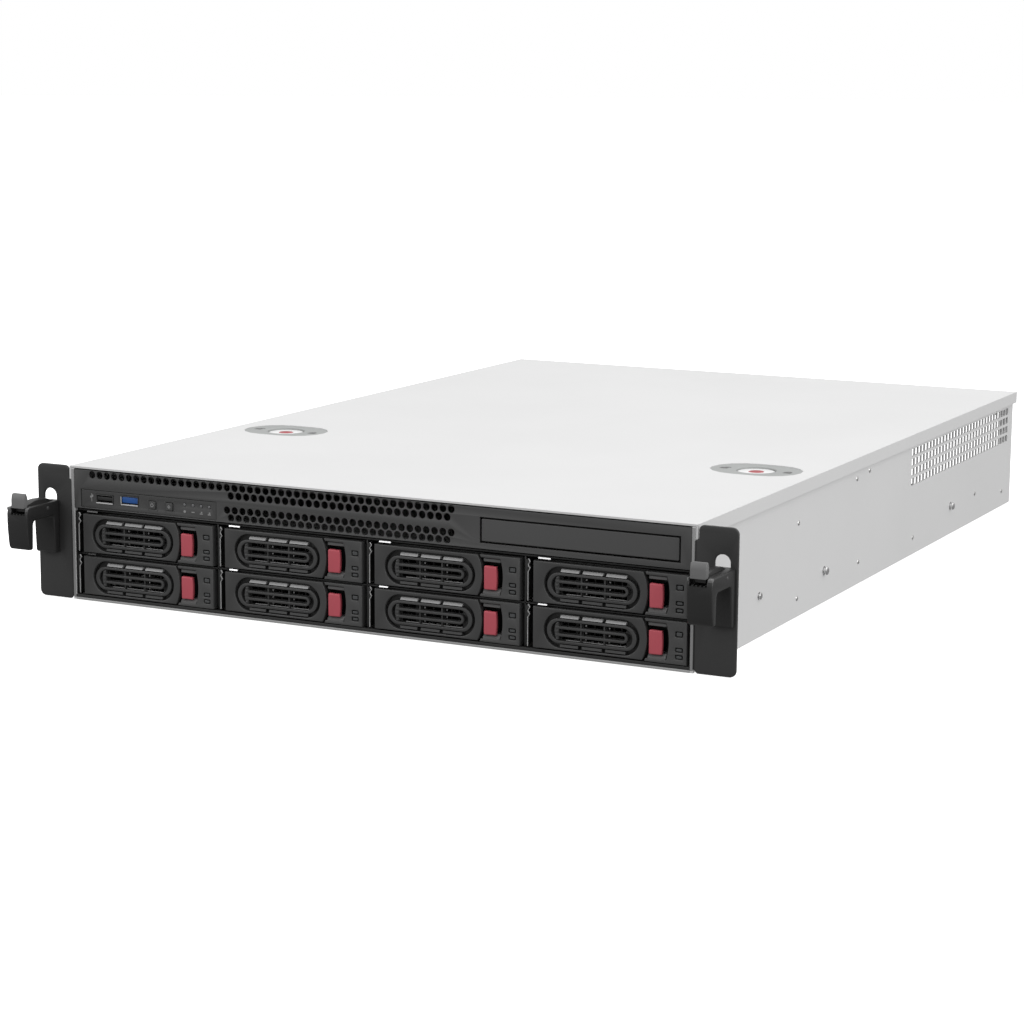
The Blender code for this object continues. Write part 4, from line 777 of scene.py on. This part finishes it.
def optical_cover():
    low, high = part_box("optical_bay_cover")
    outline = rounded(low.x, high.x, low.z, high.z, 0.0006, 3)
    face = plate("Y", FRONT + 0.0004, FRONT + 0.0020, outline,
                 edge=0.0003, steps=3)
    shell = plate("Y", FRONT + 0.0015, high.y, rectangle(low.x, high.x, low.z, high.z),
                  [grown((low, high), -SHEET)])
    clips = [block(x, x + 0.006, FRONT + 0.006, high.y + 0.003, high.z - 0.0012, high.z + 0.0003)
             for x in (low.x + 0.020, high.x - 0.026)]
    piece("optical_blank", combined([face, shell, *clips]), BLANK_PLASTIC, "chassis",
          ("optical_bay_cover",))


# ---- rack ears, handles and latches --------------------------------------------------------------
EAR_SHEET, EAR_FLANGE = 0.0020, 0.020
EAR_SCREWS, EAR_SCREW_DEPTH = (0.014, 0.030, 0.052, 0.068), 0.012
RACK_SLOT_X, RACK_SLOT_HALF, RACK_SLOT_LOW, RACK_SLOT_HIGH = 0.2318, 0.0048, 0.0533, 0.0708
ARM_THICK, GRIP_THICK, GRIP_DROP = 0.0092, 0.0072, 0.0275
LATCH_PIN = (0.0124, 0.0032)         # in front of the panel, below the handle's top
FIXED = ("chassis", "chassis")


def both_sides(name, mesh, material, bodies, nodes=None):
    """One piece as modelled for the right side and its mirror image for the left."""
    other = mirrored(mesh.copy())
    piece(name + "_right", mesh, material, bodies[1], nodes and (nodes + "_right",))
    piece(name + "_left", other, material, bodies[0], nodes and (nodes + "_left",))


def ears():
    low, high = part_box("rack_ear_right")
    inner, outer = low.x, high.x
    top = high.z
    face_inner = WALL_HIGH.x + 0.0004
    step_x = face_inner + 0.0018
    step_z = COVER_LOW.z - 0.0008
    outline = [(face_inner, 0.002), (face_inner + 0.002, 0)]
    outline += arc(outer - 0.004, 0.004, 0.004, -90, 0, 8)
    outline += arc(outer - 0.004, top - 0.004, 0.004, 0, 90, 8)
    outline += arc(step_x + 0.003, top - 0.003, 0.003, 90, 180, 6)
    outline += [(step_x, step_z + 0.0018), (face_inner, step_z)]
    slot = rounded(RACK_SLOT_X - RACK_SLOT_HALF, RACK_SLOT_X + RACK_SLOT_HALF,
                   RACK_SLOT_LOW, RACK_SLOT_HIGH, RACK_SLOT_HALF - END_FLAT, 12)
    face = plate("Y", FRONT, FRONT + EAR_SHEET, outline, [slot], edge=0.0005, steps=3)
    holes = [circle(FRONT + EAR_SCREW_DEPTH, z, 0.0022, 16) for z in EAR_SCREWS]
    side = rounded(FRONT + 0.001, FRONT + EAR_FLANGE, 0.004, step_z - 0.0012, 0.004, 5)
    flange = plate("X", inner, inner + EAR_SHEET, side, holes, edge=0.0003)
    both_sides("ear_plate", combined([face, flange]), EAR_PAINT, FIXED,
               "rack_ear")
    profile = [(0, 0.0007), (0.0008, 0.0007), (0.0010, 0.0011), (0.0030, 0.0008), (0.0034, 0.0001),
               (0.0016, -0.0030), (0, -0.0030)]
    screws = [turned("X", (inner + 0.0018, FRONT + EAR_SCREW_DEPTH, z), profile, 20)
              for z in EAR_SCREWS]
    both_sides("ear_screw", combined(screws), NICKEL, FIXED)


def handles():
    low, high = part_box("ear_handle_right")
    latch_low, latch_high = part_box("rack_latch_right")
    nose, back, top, bottom = low.y, high.y, high.z, low.z
    bar_x = (latch_low.x + latch_high.x) / 2
    under = top - ARM_THICK
    grip_back = nose + GRIP_THICK
    outline = [(back, bottom), (back, top), (nose + 0.0044, top)]
    outline += [(nose + ahead, top - drop) for ahead, drop in (
        (0.0022, 0.0004), (0.0009, 0.0015), (0.0001, 0.0044), (0.0001, 0.0100), (0.0005, 0.0160),
        (0.0010, 0.0215), (0.0016, 0.0252), (0.0024, 0.0268), (0.0036, GRIP_DROP))]
    outline += [(grip_back - 0.0014, top - GRIP_DROP), (grip_back - 0.0006, top - 0.0268)]
    outline += list(reversed(arc(grip_back + 0.003, under - 0.003, 0.003, 90, 180, 8)))
    outline += list(reversed(arc(FRONT - 0.0084, under - 0.002, 0.002, 10, 90, 6)))
    outline += [(FRONT - 0.0053, bottom + 0.0011), (FRONT - 0.0043, bottom)]
    shape = plate("X", low.x, high.x, outline, edge=0.0010, steps=3)
    channel = block(bar_x - 0.0038, bar_x + 0.0038, nose + 0.0022, back + 0.001,
                    top - 0.0078, top + 0.002, 0)
    notch = block(bar_x - 0.0053, bar_x + 0.0053, nose - 0.001, nose + 0.0050,
                  top - 0.0049, top + 0.002, 0)
    shape = carved(shape, ("DIFFERENCE", channel), ("DIFFERENCE", notch))
    ribs = [block(bar_x + dx - 0.0005, bar_x + dx + 0.0005, nose + 0.0006, nose + 0.0040,
                  top - 0.0053, top - 0.0042) for dx in (-0.0036, -0.0012, 0.0012, 0.0036)]
    shoulders = [block(x0, x1, nose + 0.0002, nose + 0.0034, top - 0.0024, top - 0.0001, 0.0007)
                 for x0, x1 in ((low.x + 0.0001, bar_x - 0.0056), (bar_x + 0.0056, high.x - 0.0001))]
    pin_y, pin_z = FRONT - LATCH_PIN[0], top - LATCH_PIN[1]
    pin = turned("X", (0, pin_y, pin_z), [(0, low.x - 0.0002), (0.0010, low.x - 0.0002),
                                          (0.0013, low.x + 0.0001), (0.0013, high.x - 0.0001),
                                          (0.0010, high.x + 0.0002), (0, high.x + 0.0002)], 20)
    both_sides("handle_grip", combined([shape, *ribs]), HANDLE_PLASTIC, FIXED,
               "ear_handle")
    # The shoulders take the tab's grey, lightened as a painted highlight.
    both_sides("handle_shoulders", combined(shoulders), TAB_GREY_PAINTED_HIGHLIGHT, FIXED)
    both_sides("latch_pin", pin, DARK_STEEL, FIXED)
    levers = ("rack_lever_left", "rack_lever_right")
    outline = [(nose + 0.0034, top - 0.0007), (nose + 0.0034, top - 0.0031),
               (pin_y - 0.003, top - 0.0053), (pin_y + 0.003, top - 0.0057)]
    outline += [(FRONT + y, top - drop) for y, drop in (
        (-0.0015, 0.0051), (0.0026, 0.0051), (0.0026, 0.0076), (0.0040, 0.0076), (0.0060, 0.0041),
        (0.0060, 0.0010), (-0.0015, 0.0001))]
    outline += [(pin_y + 0.004, top + 0.0022), (pin_y - 0.003, top + 0.0027),
                (pin_y - 0.009, top + 0.0025), (nose + 0.0060, top + 0.0009)]
    bar = plate("X", bar_x - 0.0034, bar_x + 0.0034, outline, edge=0.0004)
    both_sides("latch_bar", bar, HANDLE_PLASTIC, levers, "rack_latch")
    outline = [(nose + y, top + z) for y, z in (
        (0, -0.0005), (0.0038, -0.0005), (0.0044, 0.0057), (0.0032, 0.0087), (0.0014, 0.0087),
        (0.0005, 0.0073), (0.0001, 0.0045))]
    tab = plate("X", bar_x - 0.0050, bar_x + 0.0050, outline, edge=0.0006, steps=3)
    # The latch tab's grey is its own dark grey plus a painted highlight.
    both_sides("latch_tab", tab, TAB_GREY_PAINTED_HIGHLIGHT, levers)


# ---- cover latches -------------------------------------------------------------------------------
LATCH_LENGTH, LATCH_BREADTH, LATCH_RIM, LATCH_HOLE = 0.060, 0.044, 0.003, 0.0129


def latch_outline(x, y, rim=0.0):
    """The latch plate's rounded outline round a centre, wider by a rim."""
    half_x, half_y = LATCH_LENGTH / 2 + rim, LATCH_BREADTH / 2 + rim
    return rounded(x - half_x, x + half_x, y - half_y, y + half_y, half_y - END_FLAT, 16)


def cover_latches():
    for side in SIDES:
        plate_node, button_node = "cover_latch_plate_" + side, "cover_latch_button_" + side
        low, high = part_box(button_node)
        x, y, top = (low.x + high.x) / 2, (low.y + high.y) / 2, COVER_HIGH.z
        hole = circle(x, y, LATCH_HOLE, 48)
        face = plate("Z", top - 0.0028, top - 0.0003, latch_outline(x, y), [hole],
                     edge=0.0004, steps=3)
        rim = plate("Z", top - 0.0031, top - 0.0016, latch_outline(x, y, LATCH_RIM), [hole])
        piece("latch_face_" + side, combined([face, rim]), LATCH_GREY, "cover",
              (plate_node,))
        disc_top = top - 0.0012
        body = "cover_button_" + side
        disc = turned("Z", (x, y, disc_top), [(0, -0.0003), (0.0050, -0.0003), (0.0054, 0), (0.0116, 0),
                                              (0.0124, -0.0004), (0.0125, -0.0010), (0.0125, -0.0040),
                                              (0, -0.0040)], 48)
        piece("latch_disc_" + side, disc, LATCH_WHITE, body, (button_node,))
        dot = turned("Z", (x, y, disc_top), [(0, 0.0002), (0.0045, 0.0001), (0.0050, -0.0002),
                                             (0.0050, -0.0006), (0, -0.0006)], 40)
        piece("latch_dot_" + side, dot, DOT_RED, body)
        marks = []
        for end in (-1, 1):
            mx = x + end * 0.0215
            z0, z1 = top - 0.0004, top - 0.00018
            lock = rectangle(mx - 0.0026, mx + 0.0026, y - 0.0030, y + 0.0010)
            marks.append(plate("Z", z0, z1, lock, edge=0.00004, steps=1))
            bow_x = mx if end > 0 else mx + 0.0016
            shackle = arc(bow_x, y + 0.0010, 0.0022, 0, 180, 10)
            inner = arc(bow_x, y + 0.0010, 0.0014, 180, 0, 10)
            marks.append(plate("Z", z0, z1, shackle + inner, edge=0.00004, steps=1))
        piece("latch_marks_" + side, combined(marks), MARK_DARK, "cover")


# ---- side panels and the rear: (depth behind the front, height) ----------------------------------
STUDS, SMALL_STUD = ((0.217, 0.021), (0.487, 0.021)), (0.102, 0.026)
RIVETS = ((0.277, 0.072), (0.302, 0.074), (0.284, 0.015), (0.548, 0.021), (0.598, 0.076),
          (0.060, 0.012), (0.168, 0.012), (0.168, 0.060), (0.620, 0.012), (0.400, 0.012))
REAR_SCREWS = ((0.098, 0.010), (0.098, 0.076), (0.210, 0.010), (0.210, 0.076),
               (-0.066, 0.058), (0.004, 0.058), (0.088, 0.058))         # (x, height)
SLOT_PITCH = 0.02032
WALL_EDGE, GAP_SHADE_WIDTH = 0.0017, 0.0008


def wall_fittings():
    x = WALL_HIGH.x
    shoulder = [(0, 0.0030), (0.0016, 0.0030), (0.0024, 0.0027), (0.0027, 0.0022), (0.0027, 0.0018),
                (0.0016, 0.0016), (0.0016, 0.0004), (0.0030, 0.0002), (0.0030, -0.0006), (0, -0.0006)]
    studs = [turned("X", (x, FRONT + y, z), shoulder, 24) for y, z in STUDS]
    studs.append(turned("X", (x, FRONT + SMALL_STUD[0], SMALL_STUD[1]),
                        [(r * 0.8, d * 0.6) for r, d in shoulder], 24))
    both_sides("rail_studs", combined(studs), NICKEL, FIXED)
    rivet = [(0, 0.0006), (0.0008, 0.00055), (0.0014, 0.0003), (0.0017, 0.0), (0.0017, -0.0004),
             (0, -0.0004)]
    dots = [turned("X", (x, FRONT + y, z), rivet, 18) for y, z in RIVETS]
    both_sides("wall_rivets", combined(dots), STEEL, FIXED)


def sheet_edges():
    """The cut front edges of the walls, the pan's folded lip, and black strips beside them painted as
    the shade in the gaps.
    """
    near, far = FRONT - 0.00015, FRONT + 0.0030
    walls = [block(x, x + WALL_EDGE, near, far, 0.0013, PANEL_HIGH.z - 0.0004, 0.0001)
             for x in (-0.21485, 0.21315)]
    piece("wall_edges", combined(walls), EDGE_STEEL, "chassis")
    lip = block(-PAN_HALF, PAN_HALF, near, far, 0.0002, GAP_SHADE_LOW)
    piece("pan_lip", lip, LIP_STEEL, "chassis")
    # Black strips painted as shade: one in the gap under the trays, and one in each gap between a wall
    # and its ear.
    gap_shades = [block(-PAN_HALF, PAN_HALF, FRONT - 0.0001, far, GAP_SHADE_LOW, GAP_SHADE_TOP, 0.0001)]
    gap_shades += [block(x, x + GAP_SHADE_WIDTH, FRONT - 0.00018, FRONT + 0.0020, 0.0022,
                    COVER_LOW.z - 0.0009, 0.0001) for x in (-0.2156, 0.2148)]
    piece("front_gap_shades", combined(gap_shades), BLACK_PLASTIC, "chassis")


def rear_fittings():
    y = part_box("rear_panel")[1].y
    head = [(0, 0.0010), (0.0007, 0.0010), (0.0010, 0.0014), (0.0028, 0.0010), (0.0032, 0.0003),
            (0.0032, 0.0), (0.0015, -0.0004), (0.0015, -0.0060), (0, -0.0060)]

    def screw(x, z):
        made = turned("Z", (0, 0, 0), head, 20)
        made.transform(Matrix.Translation((x, y, z)) @ Matrix.Rotation(-pi / 2, 4, "X"))
        return made

    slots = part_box("slot_cover_bank")[1]
    screws = [screw(x, z) for x, z in REAR_SCREWS]
    screws += [screw(slots.x - 0.0092 - i * SLOT_PITCH, slots.z - 0.0005) for i in range(7)]
    piece("rear_screws", combined(screws), NICKEL, "chassis")
    hem = block(-PAN_HALF, PAN_HALF, y - 0.0002, y + 0.0010, 0.0, 0.0020, 0.0004)
    piece("rear_hem", hem, STEEL, "chassis")


# ---- chassis sheets and what stays as the CAD made it --------------------------------------------
def chassis():
    for node in ("top_cover", "side_panel_left", "side_panel_right"):
        refinish(node, LIGHT_PAINT)
    for node in ("base_pan", "rear_panel", "slot_cover_bank", *CAGE_SHEETS, "fan_bracket"):
        refinish(node, STEEL)
    refinish("backplane", BOARD)
    for number in FANS:
        refinish("fan_frame_%d" % number, BLACK_PLASTIC)
        refinish("fan_rotor_%d" % number, BLACK_PLASTIC)


# ---- studio --------------------------------------------------------------------------------------
AZIMUTH, ELEVATION, ROLL = 0.4623, 0.1785, 0.0065        # radians
LENS, SENSOR = 92.477, 36.0                              # millimetres
CAMERA_X, CAMERA_AHEAD, CAMERA_Z = 0.7741, 1.3547, 0.3567
DOME_GLOW, FLOOR_GLOW = 0.95, 0.80
FLOOR_RADIUS, FLOOR_DROP, BACKDROP_RADIUS = 14, 0.0005, 30


def camera():
    """A camera at the photograph's viewing angle."""
    forward = Vector((-sin(AZIMUTH) * cos(ELEVATION), cos(AZIMUTH) * cos(ELEVATION), -sin(ELEVATION)))
    level = forward.cross(Vector((0, 0, 1))).normalized()
    above = level.cross(forward)
    right = cos(ROLL) * level + sin(ROLL) * above
    up = cos(ROLL) * above - sin(ROLL) * level
    data = bpy.data.cameras.new("camera")
    data.sensor_width = SENSOR
    data.lens = LENS
    held = bpy.data.objects.new("camera", data)
    place = Vector((CAMERA_X, FRONT - CAMERA_AHEAD, CAMERA_Z))
    turn = Matrix((right, up, -forward)).transposed().to_4x4()
    held.matrix_world = Matrix.Translation(place) @ turn
    bpy.context.scene.collection.objects.link(held)
    bpy.context.scene.camera = held


def area_light(name, place, target, size, power):
    data = bpy.data.lights.new(name, "AREA")
    data.shape = "RECTANGLE"
    data.size, data.size_y = size
    data.energy = power
    held = bpy.data.objects.new(name, data)
    aim = (Vector(target) - Vector(place)).to_track_quat("-Z", "Y")
    held.matrix_world = Matrix.Translation(place) @ aim.to_matrix().to_4x4()
    bpy.context.scene.collection.objects.link(held)


def world_light():
    """A bright overhead dome that falls off towards the horizon and below it."""
    world = bpy.data.worlds.new("studio")
    world.use_nodes = True
    tree = world.node_tree
    coords = tree.nodes.new("ShaderNodeTexCoord")
    split = tree.nodes.new("ShaderNodeSeparateXYZ")
    ramp = tree.nodes.new("ShaderNodeValToRGB")
    height = tree.nodes.new("ShaderNodeMapRange")
    height.inputs["From Min"].default_value = -1.0
    ramp.color_ramp.elements[0].position = 0.42
    ramp.color_ramp.elements[0].color = (0.30, 0.30, 0.30, 1)
    ramp.color_ramp.elements[1].position = 0.80
    ramp.color_ramp.elements[1].color = (1, 1, 1, 1)
    tree.links.new(coords.outputs["Generated"], split.inputs["Vector"])
    tree.links.new(split.outputs["Z"], height.inputs["Value"])
    tree.links.new(height.outputs["Result"], ramp.inputs["Fac"])
    tree.links.new(ramp.outputs["Color"], tree.nodes["Background"].inputs["Color"])
    tree.nodes["Background"].inputs["Strength"].default_value = DOME_GLOW
    bpy.context.scene.world = world


def surround(name, shape, base, roughness, glow):
    """A studio object made from a bmesh, in an evenly glowing material."""
    held = bpy.data.objects.new(name, bpy.data.meshes.new(name))
    shape.to_mesh(held.data)
    shape.free()
    white, _, shader = new_material(name + "_white")
    shader.inputs["Base Color"].default_value = (*grey(base), 1)
    shader.inputs["Roughness"].default_value = roughness
    shader.inputs["Specular IOR Level"].default_value = 0.0
    shader.inputs["Emission Color"].default_value = (1, 1, 1, 1)
    shader.inputs["Emission Strength"].default_value = glow
    held.data.materials.append(white)
    return held


def backdrop():
    """A plain white surround that only the camera sees."""
    shape = bmesh.new()
    bmesh.ops.create_icosphere(shape, subdivisions=3, radius=BACKDROP_RADIUS)
    held = surround("backdrop", shape, 0, 0.5, 1.0)
    held.visible_diffuse = held.visible_glossy = held.visible_shadow = False
    held.visible_transmission = held.visible_volume_scatter = False
    bpy.context.scene.collection.objects.link(held)


def floor():
    """A plain pale floor just under the part. It glows, and throws no light on the part."""
    shape = bmesh.new()
    bmesh.ops.create_circle(shape, cap_ends=True, segments=64, radius=FLOOR_RADIUS)
    held = surround("floor", shape, 0.8, 0.9, FLOOR_GLOW)
    held.location.z = -FLOOR_DROP
    held.visible_diffuse = held.visible_glossy = False
    bpy.context.scene.collection.objects.link(held)


def studio():
    bpy.context.scene.view_settings.view_transform = "Standard"
    world_light()
    area_light("over", (0.1, 0.1, 2.2), (0, 0, 0), (2.2, 2.2), 14)
    area_light("front_left", (-1.8, -2.0, 1.2), (0, -0.2, 0.05), (1.2, 1.2), 10)
    area_light("right", (2.6, -0.4, 0.9), (0.2, 0, 0.05), (1.4, 1.4), 25)
    floor()
    backdrop()


camera()
studio()
chassis()
trays()
cage_edges()
front_plate()
usb_sockets()
key_caps()
status_lights()
strip_marks()
optical_cover()
ears()
handles()
cover_latches()
wall_fittings()
sheet_edges()
rear_fittings()
